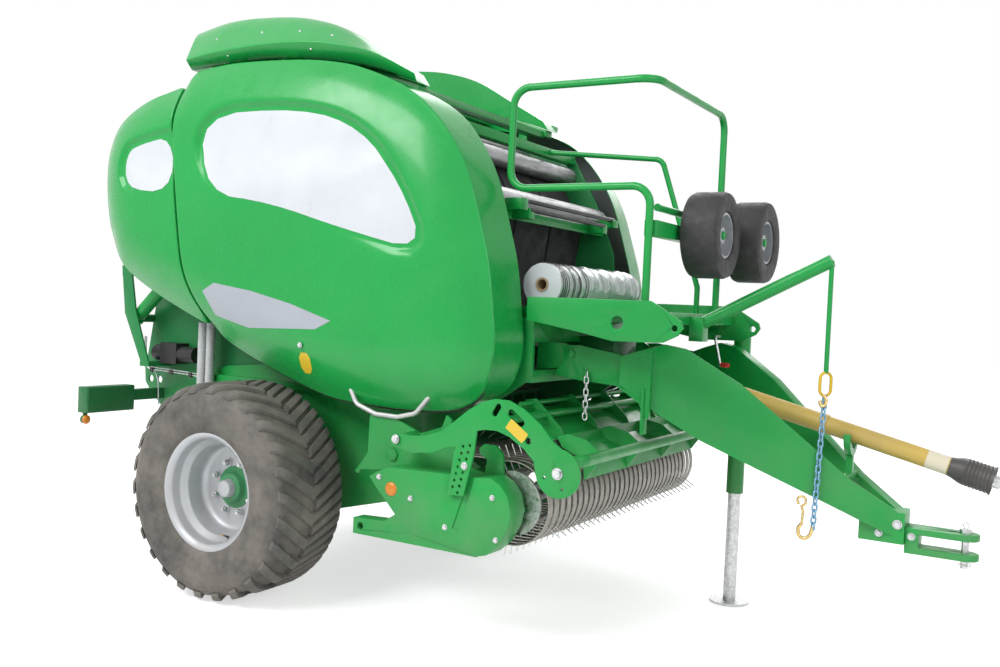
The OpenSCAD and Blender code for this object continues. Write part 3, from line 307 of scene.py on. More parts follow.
NODE_MATERIALS = {
    "green": "main_frame axle_beam top_frame hub_right hub_left pickup_frame pickup_covers wind_guard "
    "drawbar hitch platform guard_rails handrail gauge_carrier hose_arm jack_housing "
    "cylinder_barrel_right cylinder_barrel_left",
    "panel": "hoods door_right door_left rear_panels",
    "deep_green": "hinge_shaft gearbox feed_rotor tail_lamps",
    "inner_shade_green": "chamber_sides tail_sides",
    "steel": "chamber_rollers tail_rollers",
    "belt": "front_belts rear_belts",
    "wheel_silver": "rim_right rim_left gauge_rim_right gauge_rim_left",
    "tyre": "tyre_right tyre_left",
    "small_tyre": "gauge_tyre_right gauge_tyre_left",
    "zinc": "door_handle_right door_handle_left hitch_pin guard_chain jack_leg",
    "chrome": "cylinder_rod_right cylinder_rod_left",
    "band": "stripper_bands",
    "tine": "reel",
    "shaft_yellow": "drive_shaft",
    "blue_chain": "safety_chain",
    "net": "net_roll",
    "duct": "duct_tubes",
    "black_metal": "valve_block",
}

# points closer than this are welded, in millimetres
WELD_GAP = 0.02
# how far edges are rounded, in millimetres
ROUNDED = {
    "main_frame": 2, "drawbar": 3, "wind_guard": 2, "platform": 2, "pickup_frame": 2, "pickup_covers": 5,
    "top_frame": 2, "hitch": 4, "axle_beam": 4, "gauge_carrier": 3, "tail_sides": 2, "chamber_sides": 2,
    "gearbox": 6, "tail_lamps": 6, "hose_arm": 3, "gauge_tyre_right": 24, "gauge_tyre_left": 24,
}


def dress_nodes():
    """Gives every CAD node its finish, and rounds the sharp edges of those listed in ROUNDED a little."""
    for finish, names in NODE_MATERIALS.items():
        for name in names.split():
            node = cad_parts[name]
            for slot in node.material_slots:
                slot.link = "OBJECT"
                slot.material = M[finish]
            for kept in [a for a in node.data.attributes if a.name == "custom_normal"]:
                node.data.attributes.remove(kept)
            node.data.shade_smooth()
            node.modifiers.new("weld", "WELD").merge_threshold = WELD_GAP * MM
            if name in ROUNDED:
                round_edges(node, ROUNDED[name])
            split_edges(node, 32)


# mesh pieces


def round_edges(made, width, segments=2):
    """Rounds an object's sharp edges by a width in millimetres."""
    edge = made.modifiers.new("edge", "BEVEL")
    edge.width = width * MM
    edge.segments = segments
    edge.limit_method = "ANGLE"
    edge.angle_limit = math.radians(40)


def split_edges(made, degrees):
    """Keeps an object's edges crisp where it bends by more than an angle."""
    made.modifiers.new("split", "EDGE_SPLIT").split_angle = math.radians(degrees)


def piece(name, verts, faces, material, body, smooth=30.0, edge=0, segments=2):
    """A mesh object riding on a body, with edges rounded by edge and shaded smooth up to an angle."""
    mesh = bpy.data.meshes.new(name)
    mesh.from_pydata([tuple(v) for v in verts], [], faces)
    mesh.validate()
    made = show(bpy.data.objects.new(name, mesh))
    mesh.materials.append(M[material])
    if edge:
        round_edges(made, edge, segments)
    if smooth:
        mesh.shade_smooth()
        split_edges(made, smooth)
    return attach(made, body)


def cross_axes(axis):
    """Unit axis and two directions square to it."""
    axis = Vector(axis).normalized()
    side = axis.orthogonal().normalized()
    return axis, side, axis.cross(side)


def circle(centre, side, up, radius, steps):
    """Ring of points about a centre."""
    angles = (2 * math.pi * i / steps for i in range(steps))
    return [centre + (side * math.cos(a) + up * math.sin(a)) * radius for a in angles]


class Solid:
    """Collects simple shapes into one mesh; each call for a shape gives the solid back."""

    def __init__(self):
        self.verts = []
        self.faces = []

    def add(self, verts, faces):
        base = len(self.verts)
        self.verts += [Vector(v) for v in verts]
        self.faces += [tuple(base + i for i in f) for f in faces]
        return self

    def loft(self, rings, closed_ring=True, closed_path=False):
        """Skins a row of rings with the same count of points."""
        n, m = len(rings[0]), len(rings)
        faces = []
        for k in range(m if closed_path else m - 1):
            for i in range(n if closed_ring else n - 1):
                a, b = k * n + i, k * n + (i + 1) % n
                c, d = (k + 1) % m * n + (i + 1) % n, (k + 1) % m * n + i
                faces.append((a, b, c, d))
        if closed_ring and not closed_path:
            faces.append(tuple(reversed(range(n))))
            faces.append(tuple((m - 1) * n + i for i in range(n)))
        return self.add([p for ring in rings for p in ring], faces)

    def revolve(self, profile, centre, axis, steps=48):
        """Turns a profile of (radius, along) in metres about an axis through a centre."""
        axis, side, up = cross_axes(axis)
        rings = [
            [Vector(centre) + out * r + axis * h for r, h in profile]
            for out in circle(Vector(), side, up, 1, steps)
        ]
        return self.loft(rings, closed_ring=False, closed_path=True)

    def rod(self, a, b, d, sides=16, cone=None):
        """Round bar between two points in metres; cone gives another far diameter."""
        a, b = Vector(a), Vector(b)
        _, side, up = cross_axes(b - a)
        far = d if cone is None else cone
        return self.loft([circle(a, side, up, d / 2, sides), circle(b, side, up, far / 2, sides)])

    def hexagon(self, centre, axis, across, height):
        """Bolt head or nut with a chamfered crown, and a washer under it."""
        axis, side, up = cross_axes(axis)
        self.rod(centre, centre + axis * height * 0.22, across * 1.45, 20)
        rings = [
            circle(centre + axis * height * lift, side, up, across * 0.577 * share, 6)
            for lift, share in ((0.2, 1.0), (0.85, 1.0), (1.0, 0.86))
        ]
        return self.loft(rings)

    def box(self, xs, ys, zs, side=1):
        """Box over ranges in millimetres: x from the axle, y outwards on a side, and z."""
        (a, _, c), (d, _, f) = at(xs[0], 0, zs[0]), at(xs[1], 0, zs[1])
        b, e = sorted(side * y * MM for y in ys)
        return self.add(
            [(a, b, c), (d, b, c), (d, e, c), (a, e, c), (a, b, f), (d, b, f), (d, e, f), (a, e, f)],
            [(0, 3, 2, 1), (4, 5, 6, 7), (0, 1, 5, 4), (1, 2, 6, 5), (2, 3, 7, 6), (3, 0, 4, 7)],
        )

    def prism(self, outline, push):
        """Flat outline of points pushed along a vector."""
        n = len(outline)
        faces = [tuple(range(n)), tuple(reversed(range(n, 2 * n)))]
        faces += [(i, i + n, (i + 1) % n + n, (i + 1) % n) for i in range(n)]
        return self.add(outline + [p + push for p in outline], faces)

    def tube(self, points, d, sides=12):
        """Tube along a row of points in metres."""
        rings = []
        last = len(points) - 1
        side = (points[1] - points[0]).normalized().orthogonal().normalized()
        for i, p in enumerate(points):
            along = (points[min(i + 1, last)] - points[max(i - 1, 0)]).normalized()
            side = (side - along * side.dot(along)).normalized()
            rings.append(circle(p, side, along.cross(side), d / 2, sides))
        return self.loft(rings)

    def build(self, name, material, body, smooth=30.0, edge=0, segments=2):
        return piece(name, self.verts, self.faces, material, body, smooth, edge, segments)


def curve_points(points, steps=5):
    """Smooth row of points through the given ones."""
    points = np.array(points, dtype=float)
    out = []
    last = len(points) - 1
    for i in range(last):
        p0, p1, p2, p3 = (points[max(0, min(last, j))] for j in (i - 1, i, i + 1, i + 2))
        for t in (k / steps for k in range(steps)):
            out.append(
                0.5 * (2 * p1 + (p2 - p0) * t + (2 * p0 - 5 * p1 + 4 * p2 - p3) * t ** 2
                       + (3 * p1 - p0 - 3 * p2 + p3) * t ** 3)
            )
    return out + [points[last]]


def rounded(points, radius, steps=5):
    """Row of points with each inner corner turned into a short arc."""
    points = [Vector(p) for p in points]
    out = [points[0]]
    for a, b, c in zip(points, points[1:], points[2:]):
        u, v = (b - a).normalized(), (c - b).normalized()
        turn = u.angle(v, 0.0)
        cut = min(radius * math.tan(turn / 2), (b - a).length * 0.49, (c - b).length * 0.49)
        start, end = b - u * cut, b + v * cut
        for k in range(steps + 1):
            t = k / steps
            out.append(start * (1 - t) ** 2 + b * 2 * t * (1 - t) + end * t ** 2)
    out.append(points[-1])
    return out


def soften(outline, rounds=1):
    """Closed row of points with its corners cut, as many times as asked."""
    for _ in range(rounds):
        n = len(outline)
        outline = [
            tuple(a * (1 - k) + b * k for a, b in zip(outline[i], outline[(i + 1) % n]))
            for i in range(n)
            for k in (0.25, 0.75)
        ]
    return outline


# camera, light and floor

CAMERA_AT = (2.7446, -4.9833, 1.6175)
CAMERA_YAW, CAMERA_PITCH, CAMERA_ROLL = (math.radians(a) for a in (30.4675, -1.6539, 2.6243))
# focal length as a share of the picture's width
CAMERA_FOCUS = 1.00365
# strength of the world's light, floor's grey, and what is added to the floor where it is seen
WORLD_LIGHT, FLOOR_GREY, FLOOR_GLOW, FLOOR_REACH = 0.46, 0.86, 0.6, 40
# soft lamps: name, place, target, size and power
LIGHTS = (
    ("key", (-3.5, -8.0, 8.5), (0, 0, 1.2), (7, 5), 900),
    ("fill", (7.5, -4.5, 5.0), (0.5, 0, 1.2), (5, 4), 190),
    ("back", (-2.0, 8.0, 7.0), (0, 0, 1.0), (7, 5), 330),
)


def set_camera():
    """Camera at the photograph's place, with its turn, tilt, roll and focal length."""
    back = Vector((
        math.sin(CAMERA_YAW) * math.cos(CAMERA_PITCH), -math.cos(CAMERA_YAW) * math.cos(CAMERA_PITCH),
        -math.sin(CAMERA_PITCH),
    ))
    level = (-back).cross(Vector((0, 0, 1))).normalized()
    top = level.cross(-back)
    right = level * math.cos(CAMERA_ROLL) + top * math.sin(CAMERA_ROLL)
    up = top * math.cos(CAMERA_ROLL) - level * math.sin(CAMERA_ROLL)
    turn = Matrix((right, up, back)).transposed().to_4x4()
    lens = bpy.data.cameras.new("camera")
    lens.sensor_fit = "HORIZONTAL"
    lens.sensor_width = 36
    lens.lens = lens.sensor_width * CAMERA_FOCUS
    lens.clip_end = 200
    camera = bpy.data.objects.new("camera", lens)
    camera.matrix_world = Matrix.Translation(CAMERA_AT) @ turn
    bpy.context.scene.camera = show(camera)


def area_light(name, place, target, size, power):
    """Large soft panel of light."""
    lamp = bpy.data.lights.new(name, "AREA")
    lamp.shape = "RECTANGLE"
    lamp.size, lamp.size_y = size
    lamp.energy = power
    shown = show(bpy.data.objects.new(name, lamp))
    shown.location = place
    aim = Vector(target) - Vector(place)
    shown.rotation_euler = aim.to_track_quat("-Z", "Y").to_euler()


def background_ray(tree):
    """1 for the rays that are to see a white background."""
    path = tree.nodes.new("ShaderNodeLightPath")
    total = path.outputs["Is Camera Ray"]
    for name in ("Is Glossy Ray", "Is Transmission Ray"):
        more = tree.nodes.new("ShaderNodeMath")
        more.operation = "MAXIMUM"
        tree.links.new(total, more.inputs[0])
        tree.links.new(path.outputs[name], more.inputs[1])
        total = more.outputs[0]
    return total


def set_world():
    """White studio: plain light all round, white where it is seen."""
    world = bpy.data.worlds.new("studio")
    bpy.context.scene.world = world
    world.use_nodes = True
    tree = world.node_tree
    tree.nodes.clear()
    kinds = ("Background", "Background", "MixShader", "OutputWorld")
    light, seen, mix, out = (tree.nodes.new("ShaderNode" + kind) for kind in kinds)
    light.inputs[0].default_value = (0.97, 0.985, 1.0, 1)
    light.inputs[1].default_value = WORLD_LIGHT
    seen.inputs[0].default_value = (1, 1, 1, 1)
    seen.inputs[1].default_value = 1.0
    tree.links.new(background_ray(tree), mix.inputs[0])
    tree.links.new(light.outputs[0], mix.inputs[1])
    tree.links.new(seen.outputs[0], mix.inputs[2])
    tree.links.new(mix.outputs[0], out.inputs[0])


def set_floor():
    """Plain pale floor that keeps the shadow."""
    mesh = bpy.data.meshes.new("floor")
    far = FLOOR_REACH
    mesh.from_pydata([(-far, -far, 0), (far, -far, 0), (far, far, 0), (-far, far, 0)], [], [(0, 1, 2, 3)])
    floor = bpy.data.objects.new("floor", mesh)
    floor.location.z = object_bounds()[0][2]
    show(floor)
    paper = bpy.data.materials.new("floor_paper")
    paper.use_nodes = True
    tree = paper.node_tree
    surface = tree.nodes["Principled BSDF"]
    surface.inputs["Base Color"].default_value = (*[FLOOR_GREY] * 3, 1)
    surface.inputs["Roughness"].default_value = 0.9
    surface.inputs["Specular IOR Level"].default_value = 0.1
    glow = tree.nodes.new("ShaderNodeEmission")
    glow.inputs[0].default_value = (1, 1, 1, 1)
    share = tree.nodes.new("ShaderNodeMath")
    share.operation = "MULTIPLY"
    share.inputs[1].default_value = FLOOR_GLOW
    mix = tree.nodes.new("ShaderNodeAddShader")
    tree.links.new(background_ray(tree), share.inputs[0])
    tree.links.new(share.outputs[0], glow.inputs[1])
    tree.links.new(surface.outputs[0], mix.inputs[0])
    tree.links.new(glow.outputs[0], mix.inputs[1])
    tree.links.new(mix.outputs[0], tree.nodes["Material Output"].inputs[0])
    mesh.materials.append(paper)


# pressed panels

# the same values as the CAD panels, in millimetres
DOOR_EDGE_Y, DOOR_BULGE, CROWN_RUN, ROUND_IN, ROUND_UP = 930, 110, 300, 10, 14
BOTTOM_FLANGE, FLANGE_FLARE = 130, 0.35
DOOR_TOP_Z, DOOR_HINGE_X, DOOR_HINGE_Y, DOOR_HINGE_Z = 2878, (-350, 80), 890, 2862
# rims of the panels: x, z and depth of the flange
DOOR_RIM = (
    (-630, 2593, 18), (-574, 2134, 18), (-493, 1678, 18), (-344, 1406, 60), (-180, 1314, 130),
    (71, 1222, 130), (301, 1148, 130), (520, 1089, 130), (688, 1080, 130), (968, 1070, 130),
    (1190, 1083, 130), (1299, 1099, 130), (1395, 1143, 130), (1459, 1218, 200), (1486, 1336, 230),
    (1499, 1450, 230), (1481, 1585, 230), (1446, 1829, 230), (1386, 2016, 230), (1313, 2244, 230),
    (1212, 2415, 230), (1073, 2570, 230), (904, 2689, 150), (624, 2804, 40), (424, 2847, 18),
    (217, 2873, 18), (-221, 2893, 18), (-452, 2879, 18), (-596, 2864, 18),
)
REAR_RIM = (
    (-641, 2794, 18), (-764, 2766, 60), (-940, 2733, 110), (-1120, 2655, 110), (-1224, 2571, 110),
    (-1285, 2447, 110), (-1303, 2338, 110), (-1300, 2192, 110), (-1272, 2028, 110), (-1230, 1919, 110),
    (-1144, 1748, 110), (-971, 1653, 110), (-800, 1576, 110), (-658, 1521, 110), (-467, 1449, 60),
    (-372, 1424, 18), (-508, 1680, 18), (-590, 2134, 18), (-646, 2590, 18),
)
# outline of door and rear panel together: their surface is one, and the seam runs across it
OUTLINE = [p[:2] for p in DOOR_RIM[3:]] + [p[:2] for p in REAR_RIM[:16]]
# rounding of the edge along the seam, thickness of the sheet and width of a recess's wall
FLUSH_ROUND_UP, SHEET, FIELD_WALL = 5, 4.5, 46
# distance from the common outline over which a rim's rounding falls to that of the seam
OPEN_RUN = 40
# rows of a panel's mesh: up the flange, round the edge, out to the wall, over it and on to the centre
FLANGE_ROWS, EDGE_ROWS, OUTER_ROWS, WALL_ROWS, INNER_ROWS = 4, (0, 1.5, 4.5, ROUND_IN), 16, 7, 16


def ease(value, start, end):
    t = max(0.0, min(1.0, (value - start) / (end - start)))
    return t * t * (3 - 2 * t)


class Field:
    """Pressed recess of a panel: its outline, centre and depth, and where its wall fades out."""

    def __init__(self, outline, centre, depth, fade):
        points = [Vector(p) for p in soften(outline, 2)]
        self.edges = list(zip(points, points[1:] + points[:1]))
        self.centre = Vector(centre)
        self.depth = depth
        self.fade = fade

    def reach(self, p):
        """Distance from the centre to the outline in the direction of a point."""
        d = (p - self.centre).normalized()
        best = 0.0
        for a, b in self.edges:
            edge, off = b - a, a - self.centre
            turn = d.x * edge.y - d.y * edge.x
            if abs(turn) < 1e-9:
                continue
            along = (off.x * edge.y - off.y * edge.x) / turn
            share = (off.x * d.y - off.y * d.x) / turn
            if -1e-6 <= share <= 1 + 1e-6 and along > 0:
                best = max(best, along)
        return best

    def outside(self, p):
        """Signed distance to the outline, negative inside."""
        near, inside = 1e9, False
        for a, b in self.edges:
            edge = b - a
            share = max(0.0, min(1.0, (p - a).dot(edge) / edge.length_squared))
            near = min(near, (a + edge * share - p).length)
            if (a.y > p.y) != (b.y > p.y) and p.x < a.x + (p.y - a.y) / (b.y - a.y) * edge.x:
                inside = not inside
        return -near if inside else near

    def drop(self, p):
        """How deep the panel is pressed in at a point, in millimetres."""
        return self.depth * ease(1 - self.outside(p) / FIELD_WALL, 0, 1) * self.fade(p)


def panel_rows(far, edge_run):
    """Distances from the rim for the rows of a panel, from the rim to its centre."""
    start = max(edge_run - FIELD_WALL, ROUND_IN + 2)
    rows = list(EDGE_ROWS)
    rows += [ROUND_IN + (start - ROUND_IN) * (k / OUTER_ROWS) ** 1.2 for k in range(1, OUTER_ROWS + 1)]
    rows += [start + (edge_run - start) * k / WALL_ROWS for k in range(1, WALL_ROWS + 1)]
    rows += [edge_run + (far - edge_run) * (k / INNER_ROWS) for k in range(1, INNER_ROWS)]
    return rows


def rim_distance(points):
    """Smooth distance of points in x and z from the common outline, in millimetres."""
    outline = np.array(soften(OUTLINE, 2))
    total = np.zeros(len(points))
    for a, b in zip(outline, np.roll(outline, -1, axis=0)):
        long = np.linalg.norm(b - a)
        along = (b - a) / long
        rel = points - a
        start = -(rel @ along)
        high = np.maximum(np.abs(rel[:, 0] * along[1] - rel[:, 1] * along[0]), 0.4)
        for s, sign in ((start + long, 1), (start, -1)):
            turn = np.arctan(s / high) / (2 * high ** 3)
            total += sign * (s / (2 * high ** 2 * (high ** 2 + s ** 2)) + turn)
    return (total / (math.pi / 2)) ** (-1 / 3)


def panel_height(distance):
    """Stand of the panels' surface over their edge plane at a distance from the outline."""
    return DOOR_BULGE * (1 - (1 - np.clip((distance - ROUND_IN) / CROWN_RUN, 0, 1)) ** 2)


def pressed_panel(name, side, rim, field, body, replaced):
    """Thin pressed sheet over a softened rim, with its flange."""
    ring = soften(rim, 3)
    centre = field.centre
    flat, edge, flanges = [], [], []
    for x, z, deep in ring:
        p = Vector((x, z))
        far = (centre - p).length
        inward = (centre - p) / far
        run = max(far - field.reach(p), ROUND_IN + 3)
        flare = FLANGE_FLARE * max(deep - BOTTOM_FLANGE, 0)
        flanges.append([p - inward * flare * (1 - k / FLANGE_ROWS) for k in range(FLANGE_ROWS)])
        for s in panel_rows(far, run):
            flat.append(p + inward * s)
            edge.append(1 - math.sqrt(max(0.0, 1 - (1 - min(s / ROUND_IN, 1)) ** 2)))
    flat.append(centre)
    distance = rim_distance(np.array([tuple(p) for p in flat]))
    n, count = len(ring), (len(flat) - 1) // len(ring)
    high = DOOR_EDGE_Y + panel_height(distance) - np.array([field.drop(p) for p in flat])
    for first in range(0, n * count, count):
        open_edge = max(0.0, 1 - distance[first] / OPEN_RUN)
        for k in range(first, first + len(EDGE_ROWS)):
            high[k] -= edge[k] * (FLUSH_ROUND_UP + (ROUND_UP - FLUSH_ROUND_UP) * open_edge)
    verts = []
    for k in range(FLANGE_ROWS):
        for i, (_, _, deep) in enumerate(ring):
            low, w = DOOR_EDGE_Y - deep, flanges[i][k]
            verts.append(at(w.x, side * (low + (high[i * count] - low) * k / FLANGE_ROWS), w.y))
    for k in range(count):
        verts += [at(flat[j].x, side * high[j], flat[j].y) for j in range(k, n * count, count)]
    verts.append(at(centre.x, side * high[-1], centre.y))
    last = (count + FLANGE_ROWS - 1) * n
    faces = [
        (k + i, k + (i + 1) % n, k + n + (i + 1) % n, k + n + i) for k in range(0, last, n) for i in range(n)
    ]
    faces += [(last + i, last + (i + 1) % n, last + n) for i in range(n)]
    if side == LEFT:
        faces = [tuple(reversed(f)) for f in faces]
    made = piece(name, verts, faces, "panel", body, smooth=0)
    made.data.shade_smooth()
    made.data.materials.append(M["grey_inner"])
    made.data.materials.append(M["panel"])
    skin = made.modifiers.new("skin", "SOLIDIFY")
    skin.thickness = SHEET * MM
    skin.offset = -1
    skin.material_offset = 1
    skin.material_offset_rim = 2
    split_edges(made, 38)
    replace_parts(made, replaced)
    return made


def panel_tree(made):
    """Surface of a panel for laying stickers on it."""
    return BVHTree.FromPolygons([v.co for v in made.data.vertices], [p.vertices for p in made.data.polygons])


def decal(name, outline, side, tree, material, body, round_off=2):
    """Film laid on a panel: an outline in x and z, cut on a grid and pressed onto the surface."""
    outline = soften(outline, round_off)
    mesh = bmesh.new()
    mesh.faces.new([mesh.verts.new(at(x, 0, z)) for x, z in outline])
    xs, zs = [p[0] for p in outline], [p[1] for p in outline]
    cuts = [((x, 0), (1, 0, 0)) for x in range(int(min(xs)) + DECAL_GRID, int(max(xs)), DECAL_GRID)]
    cuts += [((0, z), (0, 0, 1)) for z in range(int(min(zs)) + DECAL_GRID, int(max(zs)), DECAL_GRID)]
    for (x, z), normal in cuts:
        bmesh.ops.bisect_plane(
            mesh, geom=mesh.verts[:] + mesh.edges[:] + mesh.faces[:], plane_co=at(x, 0, z), plane_no=normal,
        )
    out = Vector((0, side, 0))
    for v in mesh.verts:
        start = Vector((v.co.x, side * OUTSIDE, v.co.z))
        hit = tree.ray_cast(start, -out)[0]
        if hit is None:
            hit = tree.find_nearest(start)[0]
        v.co = hit + out * DECAL_LIFT * MM
    bmesh.ops.recalc_face_normals(mesh, faces=mesh.faces[:])
    data = bpy.data.meshes.new(name)
    mesh.to_mesh(data)
    mesh.free()
    made = show(bpy.data.objects.new(name, data))
    data.materials.append(M[material])
    data.shade_smooth()
    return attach(made, body)


# spacing of a film's vertices and its stand over the panel in millimetres
DECAL_GRID, DECAL_LIFT = 16, 1.4
# distance from the middle plane at which everything is inside, in metres
OUTSIDE = 2.0
DOOR_FIELD = Field(
    (
        (-446, 2607), (330, 2604), (729, 2476), (990, 2198), (1168, 1828), (629, 1955), (148, 2086),
        (-336, 2145),
    ),
    (350, 2250), 26,
    lambda p: max(ease(p.y, 2150, 2430), ease(p.x, 500, 1150) * 0.9),
)
REAR_FIELD = Field(
    ((-1043, 2421), (-900, 2470), (-552, 2513), (-420, 2513), (-400, 2140), (-533, 2149), (-1030, 2186)),
    (-880, 2310), 24,
    lambda p: max(ease(p.y, 2170, 2400), ease(-p.x, 900, 1030) * 0.9),
)
WHITE_DOOR = (
    (-436, 2594), (330, 2590), (716, 2466), (974, 2192), (1140, 1848), (629, 1967), (148, 2098), (-326, 2157),
)
WHITE_REAR = ((-1030, 2410), (-900, 2452), (-640, 2488), (-600, 2160), (-1018, 2196))
SILVER_DOOR = ((-382, 1682), (173, 1612), (732, 1456), (-236, 1422))


# half the width of a hinge tab and the diameter of its eye
TAB_HALF, TAB_EYE = 18, 38


def door_fittings(side):
    """Hinge tabs of a door."""
    tabs = Solid()
    for x in DOOR_HINGE_X:
        ends = (x - TAB_HALF, x + TAB_HALF)
        tabs.rod(*(at(end, side * DOOR_HINGE_Y, DOOR_HINGE_Z) for end in ends), TAB_EYE * MM, 32)
        tabs.box(ends, (DOOR_HINGE_Y, DOOR_EDGE_Y - 4), (DOOR_HINGE_Z - 6, DOOR_TOP_Z), side)
    tabs.build(f"door_fittings_{SIDES[side]}", "panel", f"door_{SIDES[side]}", edge=3)


def panels():
    """Doors, rear panels and their fields, on both sides."""
    for side, word in SIDES.items():
        door = pressed_panel(f"door_skin_{word}", side, DOOR_RIM, DOOR_FIELD, f"door_{word}", f"door_{word}")
        tree = panel_tree(door)
        decal(f"door_white_{word}", WHITE_DOOR, side, tree, "white", f"door_{word}")
        decal(f"door_silver_{word}", SILVER_DOOR, side, tree, "silver", f"door_{word}", round_off=1)
        door_fittings(side)
        back = pressed_panel(f"rear_skin_{word}", side, REAR_RIM, REAR_FIELD, "tailgate", "rear_panels")
        decal(f"rear_white_{word}", WHITE_REAR, side, panel_tree(back), "white", "tailgate")


# stations of a hood: top x and z, then x, depth and z of its edge, then x, depth and z of its underside
HOOD_ROWS = (
    (-758, 3156, -648, 0, 2937, -674, 70, 2895), (-466, 3197, -430, 0, 2962, -450, 70, 2905),
    (-94, 3180, -94, 0, 2974, -94, 70, 2912), (149, 3138, 190, 0, 2966, 190, 70, 2888),
    (364, 3063, 400, 25, 2945, 420, 90, 2858), (600, 2928, 640, 70, 2890, 640, 115, 2815),
    (833, 2794, 872, 130, 2775, 876, 150, 2735),
)
BEAM_IN_Y, HOOD_SHOULDER = 660, 180
# share of its sides that each corner of the section gives up, and the steps of its bend
SHOULDER_BEND, EDGE_BEND, UNDER_BEND = (0.42, 8), (0.06, 4), (0.12, 3)
# rivets of a hood: its sections, two points of a section and the share between them, and the way they face
HOOD_RIVETS = (((6, 13, 20, 27), (9, 10, 0.28), (0.6, 0.8)), ((9, 23), (13, 15, 0.5), (0.4, -0.9)))


def bend(a, corner, b, share, steps):
    """Short curve that cuts a corner, taking a share of both sides."""
    a, corner, b = (np.array(p) for p in (a, corner, b))
    start, end = corner + (a - corner) * share, corner + (b - corner) * share
    shares = (k / steps for k in range(steps + 1))
    return [tuple(start * (1 - t) ** 2 + corner * 2 * t * (1 - t) + end * t ** 2) for t in shares]


def hoods():
    """Curved hoods over the doors, with their rivets."""
    for side, word in SIDES.items():
        shape, rivets = Solid(), Solid()
        rings = []
        for top_x, top_z, edge_x, edge_in, edge_z, under_x, under_in, under_z in curve_points(HOOD_ROWS, 7):
            top = (top_x, BEAM_IN_Y, top_z)
            shoulder = (top_x, DOOR_EDGE_Y - HOOD_SHOULDER, top_z)
            edge = (edge_x, DOOR_EDGE_Y - edge_in, edge_z)
            under = (under_x, DOOR_EDGE_Y - under_in, under_z)
            inner = (under_x, BEAM_IN_Y, under_z)
            ring = [top, *bend(top, shoulder, edge, *SHOULDER_BEND), *bend(shoulder, edge, under, *EDGE_BEND)]
            ring += [*bend(edge, under, inner, *UNDER_BEND), inner]
            rings.append([at(x, side * y, z) for x, y, z in ring])
        shape.loft(rings)
        made = shape.build(f"hood_{word}", "panel", "frame", smooth=36)
        for sections, (a, b, share), (out, up) in HOOD_RIVETS:
            half = Vector((0, side * out, up)) * 4 * MM
            for k in sections:
                place = rings[k][a].lerp(rings[k][b], share)
                rivets.rod(place - half, place + half, 18 * MM, 12, cone=12 * MM)
        rivets.build(f"hood_rivets_{word}", "zinc", "frame")
        if side == RIGHT:
            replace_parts(made, "hoods")


# road wheels

WHEEL_Y, AXLE_Z = 1060, 575
LUGS, LUG_HEIGHT, LUG_DRAFT = 26, 24, 5
# the tread's bars are laid out in millimetres along a circle of this radius
LUG_LAYOUT_R = 560
# half the flat width of the tread, and the width over which its shoulder falls away
CROWN_HALF, SHOULDER = 196, 46
# radius of the tread between the bars, its fall over the flat and the shoulder, and the latter's power
TREAD_R, CROWN_FALL, SHOULDER_FALL, FALL_POWER = 546, 3, 30, 1.7
# share of a bar's height that is lost on the shoulder
BAR_FADE = 0.55
# carcass from the inner bead over the crown to the outer bead: radius, across
CARCASS = (
    (287, -186), (302, -208), (335, -232), (380, -246), (430, -250), (480, -243), (520, -226), (538, -196),
    (545, -120), (547, 0), (545, 120), (538, 196), (520, 226), (480, 243), (430, 250), (380, 246),
    (335, 232), (302, 208), (287, 186),
)
# raised rings of the sidewall: radius, height, width
SIDEWALL_RINGS = ((322, 2.2, 4), (352, 1.6, 5), (398, 1.8, 5), (448, 1.5, 6), (476, 2.4, 5))
SIDEWALL_FROM = 150
RIM_SECTION = (
    (286, 170), (300, 196), (308, 208), (308, 214), (300, 213), (288, 204), (279, 196), (274, 186),
    (272, 150), (266, 138), (243, 118), (238, 108), (235, 40), (230, 22), (218, 9), (196, 4), (80, 4),
    (80, -10), (190, -10), (214, -18), (224, -30), (228, -110), (262, -136), (270, -150), (276, -190),
    (300, -212), (308, -212), (308, -206), (298, -196), (286, -172), (286, 170),
)
HUB_SECTION = ((112, 5), (112, 9), (104, 14), (84, 15), (80, 20), (76, 44), (70, 50), (50, 52))
CAP_SECTION = ((0.1, 92), (34, 92), (42, 89), (46, 82), (47, 60), (50, 52), (50, 46))
BARREL_SECTION = ((75, -12), (75, -180), (0.1, -180))
NUTS, NUT_CIRCLE_R = 8, 137
NUT_ACROSS, NUT_HIGH, STUD_D, STUD_HIGH = 30, 26, 20, 38
VALVE_TURN = math.radians(160)


def wheel_point(side, radius, angle, across):
    """Point of a road wheel: radius, angle round the axle and distance outwards from its middle plane."""
    return at(radius * math.sin(angle), side * (WHEEL_Y + across), AXLE_Z + radius * math.cos(angle))


def turned(name, side, section, steps, material, smooth=30.0):
    """Piece of a road wheel: a section of (radius, across) turned about the axle."""
    rings = [[wheel_point(side, r, 2 * math.pi * k / steps, y) for r, y in section] for k in range(steps)]
    shape = Solid().loft(rings, closed_ring=False, closed_path=True)
    return shape.build(f"{name}_{SIDES[side]}", material, f"wheel_{SIDES[side]}", smooth)


def crown_radius(across, lift):
    """Radius of the tread's surface at a distance from the middle, lifted over the carcass."""
    edge = max(0.0, (abs(across) - CROWN_HALF) / SHOULDER)
    fall = CROWN_FALL * (across / CROWN_HALF) ** 2
    return TREAD_R - fall - SHOULDER_FALL * edge ** FALL_POWER + lift * (1 - BAR_FADE * min(edge, 1))


